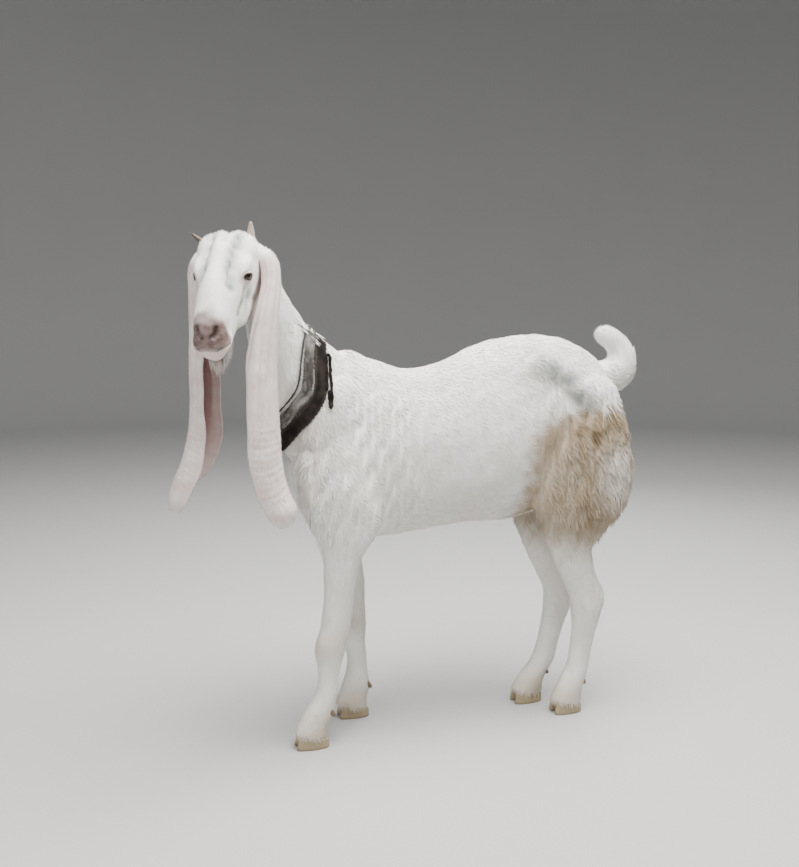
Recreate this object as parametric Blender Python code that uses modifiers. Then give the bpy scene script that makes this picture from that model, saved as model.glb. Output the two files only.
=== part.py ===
"""A long-eared goat that stands with its head turned to its left, at life size, as a museum model shows it.

Metres, +Z up. The goat faces -X, its left side is towards -Y, and it stands on the floor, Z = 0.
The flesh is built as one body and then parted with thin cuts, so that each named part meets its
neighbour face to face. Ears, horns, hooves and collar are pieces of their own, set against it.
"""

import math
import random

import bmesh
import bpy
import numpy as np
from mathutils import Matrix, Vector
from mathutils.bvhtree import BVHTree

# Working sizes of the mesh: the gap between parts that touch, the grain of the even skin, the lofts' rings,
# the count of triangles of the whole skin, and the sharpness that shows as an edge
GAP = 0.0003
VOXEL = 0.0036
SOFTENING = 12
RING_STEP = 0.014
RING_POINTS = 30
FLESH_TRIANGLES = 5800
FINE_REACH = (0.13, 0.04)
FINE_WEIGHT = 0.4
COARSE_PULL = 0.004
SLIVER = 1e-8
EDGE_ANGLE = math.radians(35)
COLLECTION = "goat"

# The trunk, one row for each station from the brisket to the rump:
# x, height of the back, height of the belly, height of the widest place, half width, roundness above
TRUNK = (
    (-0.338, 0.650, 0.520, 0.585, 0.030, 2.0),
    (-0.318, 0.720, 0.470, 0.590, 0.066, 2.0),
    (-0.285, 0.818, 0.442, 0.600, 0.084, 1.8),
    (-0.240, 0.845, 0.434, 0.605, 0.094, 1.6),
    (-0.180, 0.826, 0.436, 0.600, 0.104, 1.7),
    (-0.110, 0.803, 0.443, 0.595, 0.116, 1.9),
    (-0.030, 0.815, 0.452, 0.600, 0.123, 1.9),
    (0.050, 0.850, 0.459, 0.612, 0.121, 1.8),
    (0.120, 0.868, 0.458, 0.632, 0.112, 1.8),
    (0.190, 0.875, 0.474, 0.670, 0.102, 1.8),
    (0.250, 0.869, 0.500, 0.690, 0.094, 1.8),
    (0.310, 0.846, 0.535, 0.690, 0.082, 1.8),
    (0.360, 0.805, 0.575, 0.690, 0.062, 2.0),
    (0.392, 0.750, 0.625, 0.690, 0.032, 2.0),
)

# The neck between two rails: crest x, y, z, throat x, y, z, half width
NECK = (
    (-0.205, 0.000, 0.800, -0.280, 0.000, 0.500, 0.070),
    (-0.262, 0.000, 0.850, -0.340, 0.000, 0.590, 0.070),
    (-0.298, 0.000, 0.874, -0.380, 0.000, 0.662, 0.060),
    (-0.334, -0.002, 0.914, -0.408, 0.000, 0.732, 0.056),
    (-0.361, -0.006, 0.964, -0.425, -0.001, 0.802, 0.053),
    (-0.393, -0.016, 1.009, -0.438, -0.004, 0.870, 0.050),
    (-0.432, -0.034, 1.036, -0.449, -0.010, 0.930, 0.047),
    (-0.462, -0.056, 1.056, -0.462, -0.034, 0.972, 0.040),
)

# The head: the point midway between the eyes, how far it is turned to the left, and how far it hangs
EYE_LINE = Vector((-0.490, -0.105, 0.981))
HEAD_TURN = math.radians(66)
HEAD_DROP = math.radians(43)
# Along the head from the nape to the lips:
# distance before the eyes, top, underside, widest level, half width, roundness above
HEAD = (
    (-0.112, 0.010, -0.060, -0.025, 0.032, 2.0),
    (-0.098, 0.036, -0.080, -0.018, 0.050, 2.0),
    (-0.070, 0.056, -0.092, -0.010, 0.060, 2.2),
    (-0.035, 0.063, -0.096, -0.008, 0.062, 2.2),
    (0.000, 0.061, -0.098, -0.008, 0.058, 2.0),
    (0.030, 0.057, -0.092, -0.014, 0.049, 1.9),
    (0.060, 0.050, -0.086, -0.020, 0.042, 2.1),
    (0.090, 0.040, -0.080, -0.024, 0.038, 2.2),
    (0.115, 0.028, -0.077, -0.026, 0.036, 2.3),
    (0.135, 0.014, -0.075, -0.030, 0.034, 2.3),
    (0.150, 0.001, -0.070, -0.034, 0.029, 2.2),
    (0.160, -0.012, -0.060, -0.037, 0.019, 2.0),
)
# Rounded masses added to the flesh: place and radii, in the head's own directions
HEAD_MASSES = (
    ((-0.050, 0.020, 0.030), (0.040, 0.036, 0.032)),
    ((-0.050, 0.020, -0.030), (0.040, 0.036, 0.032)),
    ((-0.010, 0.024, 0.040), (0.034, 0.020, 0.018)),
    ((-0.010, 0.024, -0.040), (0.034, 0.020, 0.018)),
    ((-0.078, 0.000, 0.046), (0.026, 0.020, 0.018)),
    ((-0.078, 0.000, -0.046), (0.026, 0.020, 0.018)),
    ((0.030, -0.040, 0.036), (0.050, 0.032, 0.016)),
    ((0.030, -0.040, -0.036), (0.050, 0.032, 0.016)),
    ((0.136, -0.060, 0.000), (0.018, 0.017, 0.020)),
)
# Rounded masses of the body: place and radii, along the goat
BODY_MASSES = (
    ((-0.258, -0.052, 0.665), (0.080, 0.040, 0.125)),
    ((-0.258, 0.052, 0.665), (0.080, 0.040, 0.125)),
    ((-0.315, -0.045, 0.590), (0.034, 0.040, 0.075)),
    ((-0.315, 0.045, 0.590), (0.034, 0.040, 0.075)),
    ((0.190, -0.054, 0.785), (0.060, 0.030, 0.050)),
    ((0.190, 0.054, 0.785), (0.060, 0.030, 0.050)),
    ((0.345, -0.040, 0.735), (0.040, 0.026, 0.045)),
    ((0.345, 0.040, 0.735), (0.040, 0.026, 0.045)),
)

# A leg is a stack of level slices of the left leg:
# height, front x, back x, distance from the middle, half width
FORELEG = (
    (0.006, -0.366, -0.292, 0.065, 0.0262),
    (0.030, -0.364, -0.293, 0.065, 0.0265),
    (0.045, -0.360, -0.291, 0.065, 0.0258),
    (0.060, -0.352, -0.284, 0.065, 0.0252),
    (0.078, -0.341, -0.276, 0.065, 0.0248),
    (0.100, -0.325, -0.273, 0.065, 0.0235),
    (0.125, -0.315, -0.269, 0.066, 0.0210),
    (0.155, -0.311, -0.265, 0.066, 0.0200),
    (0.180, -0.313, -0.261, 0.067, 0.0215),
    (0.203, -0.317, -0.255, 0.068, 0.0265),
    (0.228, -0.315, -0.250, 0.069, 0.0285),
    (0.255, -0.305, -0.245, 0.070, 0.0265),
    (0.310, -0.298, -0.236, 0.070, 0.0265),
    (0.360, -0.296, -0.228, 0.071, 0.0290),
    (0.410, -0.301, -0.213, 0.073, 0.0320),
    (0.445, -0.312, -0.192, 0.076, 0.0345),
    (0.490, -0.328, -0.165, 0.078, 0.0345),
    (0.550, -0.335, -0.150, 0.078, 0.0330),
    (0.610, -0.328, -0.165, 0.074, 0.0300),
    (0.680, -0.300, -0.185, 0.066, 0.0260),
)
HINDLEG = (
    (0.006, 0.237, 0.312, 0.040, 0.0262),
    (0.032, 0.239, 0.312, 0.040, 0.0265),
    (0.060, 0.252, 0.315, 0.040, 0.0252),
    (0.080, 0.263, 0.322, 0.040, 0.0245),
    (0.105, 0.274, 0.329, 0.041, 0.0225),
    (0.140, 0.281, 0.334, 0.042, 0.0205),
    (0.185, 0.285, 0.342, 0.044, 0.0205),
    (0.225, 0.284, 0.353, 0.046, 0.0235),
    (0.255, 0.280, 0.361, 0.048, 0.0255),
    (0.282, 0.274, 0.361, 0.050, 0.0245),
    (0.310, 0.260, 0.346, 0.052, 0.0240),
    (0.350, 0.240, 0.331, 0.055, 0.0260),
    (0.390, 0.221, 0.324, 0.058, 0.0295),
    (0.430, 0.199, 0.350, 0.062, 0.0350),
    (0.470, 0.185, 0.386, 0.064, 0.0400),
    (0.515, 0.174, 0.408, 0.064, 0.0430),
    (0.570, 0.168, 0.416, 0.062, 0.0450),
    (0.630, 0.168, 0.410, 0.058, 0.0450),
    (0.700, 0.180, 0.396, 0.052, 0.0420),
    (0.770, 0.205, 0.368, 0.043, 0.0340),
    (0.800, 0.235, 0.335, 0.034, 0.0120),
)
# How far behind the left leg the right one stands at each height, less than 0 where it is ahead
RIGHT_FORE_SHIFT = ((0.00, 0.117), (0.06, 0.113), (0.10, 0.100), (0.17, 0.084), (0.24, 0.071),
                    (0.32, 0.055), (0.46, 0.012), (0.55, 0.0), (0.80, 0.0))
RIGHT_HIND_SHIFT = ((0.00, -0.066), (0.06, -0.062), (0.10, -0.050), (0.17, -0.038), (0.26, -0.025),
                    (0.35, -0.022), (0.45, -0.012), (0.55, 0.0), (0.80, 0.0))

# The tail: x, z and radius along its line, which curls up and forward, and its width for its depth
TAIL = (
    (0.335, 0.785, 0.032),
    (0.378, 0.778, 0.042),
    (0.408, 0.790, 0.041),
    (0.4155, 0.818, 0.036),
    (0.404, 0.846, 0.030),
    (0.386, 0.864, 0.026),
    (0.369, 0.872, 0.024),
    (0.356, 0.875, 0.018),
    (0.348, 0.876, 0.009),
)
TAIL_FLATNESS = 0.78

# The hooves: height of the coronet at the toe and at the heel, length, width of the pair, gap of the cleft,
# how far the wall leans back, and the points of its outline
CORONET_TOE = 0.031
CORONET_HEEL = 0.020
HOOF_LENGTH = 0.070
HOOF_WIDTH = 0.047
CLEFT = 0.004
HOOF_LEAN = 0.003
HOOF_POINTS = 16
HOOF_LEVELS = (0.0, 0.12, 0.55, 1.0)
# The middle of each foot on the floor, and the way that its toes point
FEET = {
    "fore_left": (-0.326, -0.065, math.radians(4)),
    "fore_right": (-0.209, 0.065, math.radians(-4)),
    "hind_left": (0.275, -0.040, math.radians(6)),
    "hind_right": (0.209, 0.040, math.radians(-6)),
}

# The eyes: radius, the left one's place, the way it looks and the slant of its opening in the
# head's directions, and the size of the lids' opening
EYE_RADIUS = 0.0135
EYE_PLACE = (0.004, 0.013, 0.0430)
EYE_GAZE = (0.34, 0.16, 0.93)
EYE_SLANT = (0.80, 0.60, 0.0)
EYE_SEGMENTS = 16
LID_THICKNESS = 0.0024
LID_HALF_LENGTH = 0.0135
LID_HALF_HEIGHT = 0.0064

# The ears, hung from the sides of the poll: x, y, z of the middle line, radius of the rolled section,
# half of the angle that the roll covers, and the plan angle that its open side faces, in degrees from +X
LEFT_EAR = (
    (-0.432, -0.072, 1.034, 0.016, 130, 165),
    (-0.408, -0.090, 1.020, 0.020, 135, 160),
    (-0.402, -0.102, 0.975, 0.021, 135, 156),
    (-0.410, -0.112, 0.930, 0.024, 132, 153),
    (-0.421, -0.114, 0.870, 0.030, 124, 151),
    (-0.428, -0.116, 0.810, 0.035, 114, 150),
    (-0.431, -0.118, 0.750, 0.038, 104, 148),
    (-0.431, -0.119, 0.690, 0.040, 98, 146),
    (-0.428, -0.120, 0.635, 0.040, 94, 143),
    (-0.419, -0.122, 0.585, 0.038, 92, 140),
    (-0.405, -0.125, 0.545, 0.037, 88, 136),
    (-0.391, -0.128, 0.515, 0.034, 82, 132),
    (-0.383, -0.130, 0.497, 0.020, 74, 130),
)
RIGHT_EAR = (
    (-0.514, -0.040, 1.034, 0.016, 130, -20),
    (-0.531, -0.032, 1.014, 0.020, 135, -30),
    (-0.535, -0.028, 0.960, 0.022, 134, -36),
    (-0.530, -0.026, 0.880, 0.028, 126, -38),
    (-0.526, -0.026, 0.800, 0.034, 114, -36),
    (-0.523, -0.028, 0.735, 0.037, 108, -32),
    (-0.528, -0.030, 0.655, 0.041, 108, -26),
    (-0.545, -0.032, 0.600, 0.040, 104, -12),
    (-0.568, -0.034, 0.560, 0.035, 98, 4),
    (-0.582, -0.036, 0.535, 0.028, 90, 14),
    (-0.592, -0.038, 0.517, 0.016, 80, 20),
)
EAR_THICKNESS = 0.0052
EAR_HEM = 0.6
EAR_RINGS = 17
EAR_ARC_POINTS = 8

# The small horns: places of their roots and the ways that they point in the head's directions,
# their lengths, their radii at the root, how much of it the tip loses, how deep the root is sunk,
# and the bow
HORN_ROOTS = {"left": (-0.088, 0.033, 0.040), "right": (-0.084, 0.020, -0.054)}
HORN_WAYS = {"left": (-0.30, 0.94, 0.12), "right": (-0.30, 0.45, -0.84)}
HORN_LENGTHS = {"left": 0.029, "right": 0.035}
HORN_RADII = {"left": 0.0080, "right": 0.0062}
HORN_TAPER = 0.70
HORN_SINK = 0.3
HORN_BOW = (-0.12, 0.0, 0.0)

# The nostrils and the mouth, in the head's directions: place, the way it opens and its slant, the radii of
# the rim and of the hole, and the line of the mouth from the middle of the lips to the left corner
NOSTRIL_PLACE = (0.152, -0.006, 0.0205)
NOSTRIL_OUT = (0.75, 0.25, 0.60)
NOSTRIL_SLANT = (-0.25, 0.85, 0.45)
NOSTRIL_RIM = (0.0125, 0.0085, 0.0085)
NOSTRIL_HOLE = (0.0082, 0.0040, 0.0100)
MOUTH_LINE = (
    (0.170, -0.031, 0.000),
    (0.164, -0.032, 0.011),
    (0.152, -0.034, 0.024),
    (0.138, -0.036, 0.034),
    (0.122, -0.037, 0.040),
)
MOUTH_MIDDLE = (0.10, -0.028, 0.0)
MOUTH_OPENING = 0.0016
LIP_RADIUS = 0.0050

# The dewclaws: behind the middle of the foot, to its side and up, then the way from root to tip
# and the radii
DEWCLAWS = {"fore": (0.047, 0.011, 0.072), "hind": (0.042, 0.011, 0.072)}
DEWCLAW_ROOT = Vector((-0.010, 0.0, 0.010))
DEWCLAW_TIP = Vector((0.006, 0.002, -0.009))
DEWCLAW_RADII = ((0.0, 0.0056), (0.45, 0.0056), (0.8, 0.0047), (1.0, 0.0026))

# Locks of longer hair, flat and tapered: depth of the sunk root, rings, thickness at the root and
# at the tip, and how far the tips stand off the skin
LOCK_SINK = 0.0065
LOCK_RINGS = 5
LOCK_THICKNESS = 0.0060
LOCK_TIP = 0.0010
LOCK_LIFT = 0.0085
LOCK_SEED = 5
# Rows of roots on the thigh, from the hip down: height, first x, last x, count, length, width
THIGH_LOCKS = (
    (0.645, 0.318, 0.394, 3, 0.090, 0.036),
    (0.590, 0.245, 0.406, 4, 0.092, 0.042),
    (0.530, 0.226, 0.402, 4, 0.088, 0.044),
    (0.474, 0.226, 0.376, 3, 0.066, 0.038),
)
THIGH_LIE = Vector((0.30, 0.0, -0.95))
# How closely a lock follows the skin, at the front of the thigh and at its back edge
THIGH_HUG = (0.9, 0.25)
THIGH_OUTSIDE = 0.25
# Roots round the tail: how far along its line, angle from the outer side, and length, width
TAIL_LOCKS = (
    (0.30, 0, 0.060, 0.030),
    (0.34, 75, 0.060, 0.028),
    (0.34, -75, 0.060, 0.028),
    (0.55, 30, 0.058, 0.026),
    (0.57, -42, 0.058, 0.026),
    (0.60, 118, 0.050, 0.022),
    (0.60, -118, 0.050, 0.022),
    (0.78, 0, 0.052, 0.020),
)
TAIL_HUG = 0.75
# Roots under the chin in the head's directions, and length, width
BEARD_LOCKS = (
    ((0.128, -0.070, 0.000), 0.038, 0.016),
    ((0.114, -0.074, 0.011), 0.042, 0.016),
    ((0.114, -0.074, -0.011), 0.042, 0.016),
    ((0.097, -0.078, 0.004), 0.040, 0.018),
)
BEARD_LIE = Vector((0.10, 0.10, -1.0))

# The collar is three loops round the neck, a strap, a soft band and a thin cord: the highest and the lowest
# place of each loop's plane, its width, its thickness, how far it hangs free below and how far its sides
# sweep back; the loops turn about a line across them through the middle of the neck
BELT_CLEARANCE = 0.0030
BELT_STEPS = 32
BELT_START = 0.25
BELT_AXIS = Vector((-0.3500, 0.0, 0.7700))
STRAP = (Vector((-0.288, 0.0, 0.870)), Vector((-0.385, 0.0, 0.630)), 0.026, 0.0035, 0.006, -0.030)
BAND = (Vector((-0.3064, 0.0, 0.8917)), Vector((-0.3996, 0.0, 0.6613)), 0.022, 0.0045, 0.006, -0.027)
CORD = (Vector((-0.3143, 0.0, 0.9104)), Vector((-0.4067, 0.0, 0.6816)), 0.004, 0.0040, 0.006, -0.023)
# The strap's knotted end hangs behind its left side: angle round the loop, length and radii along it
KNOT_ANGLE = math.radians(283)
KNOT_LENGTH = 0.040
KNOT_RADII = (0.0036, 0.0066, 0.0062, 0.0040, 0.0052, 0.0024)
KNOT_OFF_SKIN = 0.0100

# The cuts between the parts
HEAD_CUT = ((-0.140, -0.025, -0.10), (-0.140, -0.025, 0.10), (0.028, -0.127, 0.10), (0.028, -0.127, -0.10))
NECK_CUT = ((-0.246, -0.14, 0.910), (-0.246, 0.14, 0.910), (-0.366, 0.14, 0.560), (-0.366, -0.14, 0.560))
TAIL_CUT = ((0.360, -0.06, 0.818), (0.360, 0.06, 0.818), (0.422, 0.06, 0.722), (0.422, -0.06, 0.722))
FORELEG_CUT = ((0.020, 0.398), (0.150, 0.580))
FORELEG_CUT_FALL = 0.18
THIGH_CUT = ((0.145, -0.06, 0.462), (0.405, -0.03, 0.700), (0.270, -0.12, 0.720))
SHANK_CUT = 0.388
# Roughly where the middle of each part of the flesh lies
PLACES = {
    "head": (-0.50, -0.13, 0.97),
    "neck": (-0.37, -0.02, 0.82),
    "torso": (0.02, 0.00, 0.65),
    "tail": (0.41, 0.00, 0.82),
    "foreleg_left": (-0.26, -0.07, 0.29),
    "foreleg_right": (-0.22, 0.07, 0.29),
    "thigh_left": (0.28, -0.06, 0.54),
    "thigh_right": (0.28, 0.06, 0.54),
    "hindleg_left": (0.29, -0.05, 0.22),
    "hindleg_right": (0.25, 0.05, 0.22),
    "stub_fore_left": (-0.326, -0.065, 0.010),
    "stub_fore_right": (-0.209, 0.065, 0.010),
    "stub_hind_left": (0.275, -0.040, 0.010),
    "stub_hind_right": (0.209, 0.040, 0.010),
}

# Colours of the parts
COAT = (0.86, 0.83, 0.78)
COAT_TAN = (0.74, 0.62, 0.46)
EAR_PINK = (0.80, 0.64, 0.60)
HORN_PALE = (0.66, 0.58, 0.48)
EYE_DARK = (0.05, 0.035, 0.025)
HOOF_YELLOW = (0.62, 0.52, 0.34)
STRAP_BROWN = (0.10, 0.075, 0.06)
BAND_GREY = (0.62, 0.60, 0.57)
CORD_BLACK = (0.03, 0.03, 0.03)


def material(name, colour, roughness=0.8, metallic=0.0):
    """A plain finish for a part."""
    made = bpy.data.materials.get(name) or bpy.data.materials.new(name)
    made.use_nodes = True
    shader = made.node_tree.nodes["Principled BSDF"]
    shader.inputs["Base Color"].default_value = (*colour, 1.0)
    shader.inputs["Roughness"].default_value = roughness
    shader.inputs["Metallic"].default_value = metallic
    return made


def head_axes():
    """The head's own directions: along the nose, out of the forehead, and to its left."""
    level = Vector((-math.cos(HEAD_TURN), -math.sin(HEAD_TURN), 0.0))
    along = level * math.cos(HEAD_DROP) - Vector((0, 0, math.sin(HEAD_DROP)))
    above = level * math.sin(HEAD_DROP) + Vector((0, 0, math.cos(HEAD_DROP)))
    return along, above, above.cross(along)


ALONG, ABOVE, LEFTWARD = head_axes()


def head_vector(place):
    return ALONG * place[0] + ABOVE * place[1] + LEFTWARD * place[2]


def head_point(place):
    return EYE_LINE + head_vector(place)


def mirrored(place):
    """The same place on the head's right side."""
    return (place[0], place[1], -place[2])


def smooth_rows(rows, step, axes=3):
    """Rows of numbers read from a smooth curve through the given rows, about one step apart."""
    table = np.array(rows, float)
    reach = np.linalg.norm(np.diff(table[:, :axes], axis=0), axis=1)
    at = np.concatenate(([0.0], np.cumsum(reach)))
    slope = np.gradient(table, at, axis=0)
    count = max(2, int(round(at[-1] / step)) + 1)
    out = []
    for place in np.linspace(0.0, at[-1], count):
        i = min(np.searchsorted(at, place, side="right") - 1, len(at) - 2)
        span = at[i + 1] - at[i]
        t = (place - at[i]) / span
        out.append((2 * t ** 3 - 3 * t ** 2 + 1) * table[i] + (t ** 3 - 2 * t ** 2 + t) * span * slope[i]
                   + (3 * t ** 2 - 2 * t ** 3) * table[i + 1] + (t ** 3 - t ** 2) * span * slope[i + 1])
    return np.array(out)


def loft(name, rings):
    """A closed body through rings of points, each ring with the same count."""
    built = bmesh.new()
    loops = [[built.verts.new(point) for point in ring] for ring in rings]
    count = len(loops[0])
    for low, high in zip(loops, loops[1:]):
        for i in range(count):
            j = (i + 1) % count
            built.faces.new((low[i], low[j], high[j], high[i]))
    built.faces.new(list(reversed(loops[0])))
    built.faces.new(loops[-1])
    bmesh.ops.recalc_face_normals(built, faces=built.faces)
    return finish_mesh(name, built)


def finish_mesh(name, built):
    mesh = bpy.data.meshes.new(name)
    built.to_mesh(mesh)
    built.free()
    made = bpy.data.objects.new(name, mesh)
    bpy.data.collections[COLLECTION].objects.link(made)
    return made


def ellipsoid(name, centre, radii, frame=None, segments=24):
    built = bmesh.new()
    bmesh.ops.create_uvsphere(built, u_segments=segments, v_segments=segments // 2, radius=1.0)
    turn = Matrix.Identity(3) if frame is None else Matrix(frame).transposed()
    matrix = Matrix.Translation(centre) @ turn.to_4x4() @ Matrix.Diagonal((*radii, 1.0))
    bmesh.ops.transform(built, matrix=matrix, verts=built.verts)
    bmesh.ops.recalc_face_normals(built, faces=built.faces)
    return finish_mesh(name, built)


def baked(thing):
    """Applies a thing's modifiers to its mesh."""
    graph = bpy.context.evaluated_depsgraph_get()
    mesh = bpy.data.meshes.new_from_object(thing.evaluated_get(graph))
    thing.modifiers.clear()
    old = thing.data
    thing.data = mesh
    if old.users == 0:
        bpy.data.meshes.remove(old)
    return thing


def volume(thing):
    built = bmesh.new()
    built.from_mesh(thing.data)
    held = built.calc_volume()
    built.free()
    return held


def combine(target, tool, operation):
    """Cuts or joins a mesh with another one and removes that other one.

    Where the exact solver loses part of the body, the other solver takes its place.
    """
    before, change = volume(target), volume(tool)
    least = before - (change if operation == "DIFFERENCE" else 0.0)
    most = before + (change if operation == "UNION" else 0.0)
    whole = target.data.copy()
    for solver in ("EXACT", "MANIFOLD"):
        cut = target.modifiers.new("cut", "BOOLEAN")
        cut.operation = operation
        cut.solver = solver
        cut.object = tool
        baked(target)
        if least * 0.999 - SLIVER < volume(target) < most * 1.001 + SLIVER:
            break
        target.data = whole.copy()
    bpy.data.objects.remove(tool)
    return target


def fuse(node, pieces):
    """Joins a node with all the pieces that grow from it, and keeps its largest closed surface."""
    group = bpy.data.collections.new("growth")
    for piece in pieces:
        group.objects.link(piece)
    before, whole = volume(node), node.data.copy()
    most = before + sum(volume(piece) for piece in pieces)
    for solver in ("EXACT", "MANIFOLD"):
        join = node.modifiers.new("join", "BOOLEAN")
        join.operation = "UNION"
        join.operand_type = "COLLECTION"
        join.solver = solver
        join.collection = group
        baked(node)
        if before < volume(node) < most:
            break
        node.data = whole.copy()
    for piece in pieces:
        bpy.data.objects.remove(piece)
    bpy.data.collections.remove(group)
    return keep_largest(node)


def islands(thing):
    """The closed surfaces of a mesh as lists of faces, the largest first."""
    built = bmesh.new()
    built.from_mesh(thing.data)
    built.faces.ensure_lookup_table()
    seen, groups = set(), []
    for face in built.faces:
        if face.index in seen:
            continue
        group, queue = [], [face]
        seen.add(face.index)
        while queue:
            one = queue.pop()
            group.append(one.index)
            for edge in one.edges:
                for other in edge.link_faces:
                    if other.index not in seen:
                        seen.add(other.index)
                        queue.append(other)
        groups.append(group)
    groups.sort(key=lambda group: -sum(built.faces[i].calc_area() for i in group))
    return built, groups


def keep_largest(thing):
    built, groups = islands(thing)
    waste = [built.faces[i] for group in groups[1:] for i in group]
    bmesh.ops.delete(built, geom=waste, context="FACES")
    built.to_mesh(thing.data)
    built.free()
    return thing


def split_islands(thing):
    """Each closed surface of a mesh as an object of its own."""
    built, groups = islands(thing)
    pieces = []
    for number, group in enumerate(groups):
        part = built.copy()
        part.faces.ensure_lookup_table()
        keep = set(group)
        bmesh.ops.delete(part, geom=[f for f in part.faces if f.index not in keep], context="FACES")
        pieces.append(finish_mesh("piece_%d" % number, part))
    built.free()
    bpy.data.objects.remove(thing)
    return pieces


def trunk():
    rings = []
    for x, back, belly, middle, half, above in smooth_rows(TRUNK, RING_STEP, 1):
        ring = []
        for i in range(RING_POINTS):
            angle = 2 * math.pi * i / RING_POINTS
            side, up = math.cos(angle), math.sin(angle)
            power = above if up > 0 else 2.2
            y = half * math.copysign(abs(side) ** (2 / power), side)
            reach = back - middle if up > 0 else middle - belly
            ring.append((x, y, middle + reach * math.copysign(abs(up) ** (2 / power), up)))
        rings.append(ring)
    return loft("trunk", rings)


def neck():
    rings = []
    rows = smooth_rows(NECK, RING_STEP)
    path = (rows[:, 0:3] + rows[:, 3:6]) / 2
    ways = np.gradient(path, axis=0)
    for row, way in zip(rows, ways):
        crest, throat, half = Vector(row[0:3]), Vector(row[3:6]), row[6]
        centre, reach = (crest + throat) / 2, (crest - throat) / 2
        across = Vector(way).cross(reach).normalized()
        rings.append([centre + reach * math.cos(a) + across * half * math.sin(a)
                      for a in (2 * math.pi * i / RING_POINTS for i in range(RING_POINTS))])
    return loft("neck_form", rings)


def head():
    rings = []
    for place, top, under, middle, half, above in smooth_rows(HEAD, RING_STEP / 2, 1):
        ring = []
        for i in range(RING_POINTS):
            angle = 2 * math.pi * i / RING_POINTS
            side, up = math.cos(angle), math.sin(angle)
            power = above if up > 0 else 1.9
            w = half * math.copysign(abs(side) ** (2 / power), side)
            reach = top - middle if up > 0 else middle - under
            v = middle + reach * math.copysign(abs(up) ** (2 / power), up)
            ring.append(head_point((place, v, w)))
        rings.append(ring)
    return loft("head_form", rings)


def leg(name, rows, side, shift):
    """side is -1 for the left leg and 1 for the right one."""
    rings = []
    heights, moves = zip(*shift)
    for z, front, back, out, half in smooth_rows(rows, RING_STEP, 1):
        move = float(np.interp(z, heights, moves)) if side > 0 else 0.0
        middle, reach = (front + back) / 2 + move, (back - front) / 2
        rings.append([(middle + reach * math.cos(a), side * out + half * math.sin(a), z)
                      for a in (2 * math.pi * i / RING_POINTS for i in range(RING_POINTS))])
    return loft(name, rings)


def tail():
    rings = []
    rows = smooth_rows(TAIL, RING_STEP, 2)
    ways = np.gradient(rows[:, :2], axis=0)
    for (x, z, radius), way in zip(rows, ways):
        along = Vector((way[0], 0.0, way[1])).normalized()
        out = Vector((-along.z, 0.0, along.x))
        rings.append([Vector((x, 0.0, z)) + out * radius * math.cos(a)
                      + Vector((0, 1, 0)) * radius * TAIL_FLATNESS * math.sin(a)
                      for a in (2 * math.pi * i / RING_POINTS for i in range(RING_POINTS))])
    return loft("tail_form", rings)


def flesh():
    """The whole animal without its ears, horns and hooves, as one even skin."""
    frame = (ALONG, ABOVE, LEFTWARD)
    forms = [trunk(), neck(), head(), tail()]
    for side in (-1, 1):
        forms.append(leg("foreleg", FORELEG, side, RIGHT_FORE_SHIFT))
        forms.append(leg("hindleg", HINDLEG, side, RIGHT_HIND_SHIFT))
    forms += [ellipsoid("mass", head_point(place), radii, frame) for place, radii in HEAD_MASSES]
    forms += [ellipsoid("mass", place, radii) for place, radii in BODY_MASSES]
    joined = bmesh.new()
    for form in forms:
        joined.from_mesh(form.data)
        bpy.data.objects.remove(form)
    body = finish_mesh("flesh", joined)
    remesh = body.modifiers.new("even", "REMESH")
    remesh.mode = "VOXEL"
    remesh.voxel_size = VOXEL
    soften = body.modifiers.new("soften", "SMOOTH")
    soften.factor = 0.5
    soften.iterations = SOFTENING
    baked(body)
    keep_largest(body)
    coarse = body.vertex_groups.new(name="coarse")
    middle = head_point((0.03, 0.0, 0.0))
    for vertex in body.data.vertices:
        weight = ((vertex.co - middle).length - FINE_REACH[0]) / FINE_REACH[1]
        coarse.add([vertex.index], min(1.0, max(FINE_WEIGHT, weight)), "REPLACE")
    shrink = body.modifiers.new("shrink", "DECIMATE")
    shrink.ratio = FLESH_TRIANGLES / (2 * len(body.data.polygons))
    shrink.vertex_group = "coarse"
    shrink.vertex_group_factor = COARSE_PULL
    shrink.use_collapse_triangulate = True
    return baked(body)


def tube(name, points, radii, sides=8):
    """A round rod through the given points, with a radius for each."""
    points = [Vector(p) for p in points]
    rings = []
    side = None
    for i, point in enumerate(points):
        way = (points[min(i + 1, len(points) - 1)] - points[max(i - 1, 0)]).normalized()
        if side is None:
            side = way.orthogonal().normalized()
        side = (side - way * side.dot(way)).normalized()
        up = way.cross(side)
        rings.append([point + (side * math.cos(a) + up * math.sin(a)) * radii[i]
                      for a in (2 * math.pi * k / sides for k in range(sides))])
    return loft(name, rings)


def slab(corners):
    """A thin flat cutter through the given corners, as thick as the gap between parts."""
    corners = [Vector(c) for c in corners]
    normal = (corners[1] - corners[0]).cross(corners[2] - corners[1]).normalized()
    rings = [[c + normal * GAP * side for c in corners] for side in (-0.5, 0.5)]
    return loft("slab", rings)


def level_slab(x0, x1, y0, y1, z):
    return slab(((x0, y0, z), (x1, y0, z), (x1, y1, z), (x0, y1, z)))


def thigh_height(x, y):
    """Height of the slanted cut over the left thigh, from the flank up to the hip and the rump."""
    front, back, hip = (Vector(p) for p in THIGH_CUT)
    normal = (back - front).cross(hip - front)
    return front.z - (normal.x * (x - front.x) + normal.y * (y - front.y)) / normal.z


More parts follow.
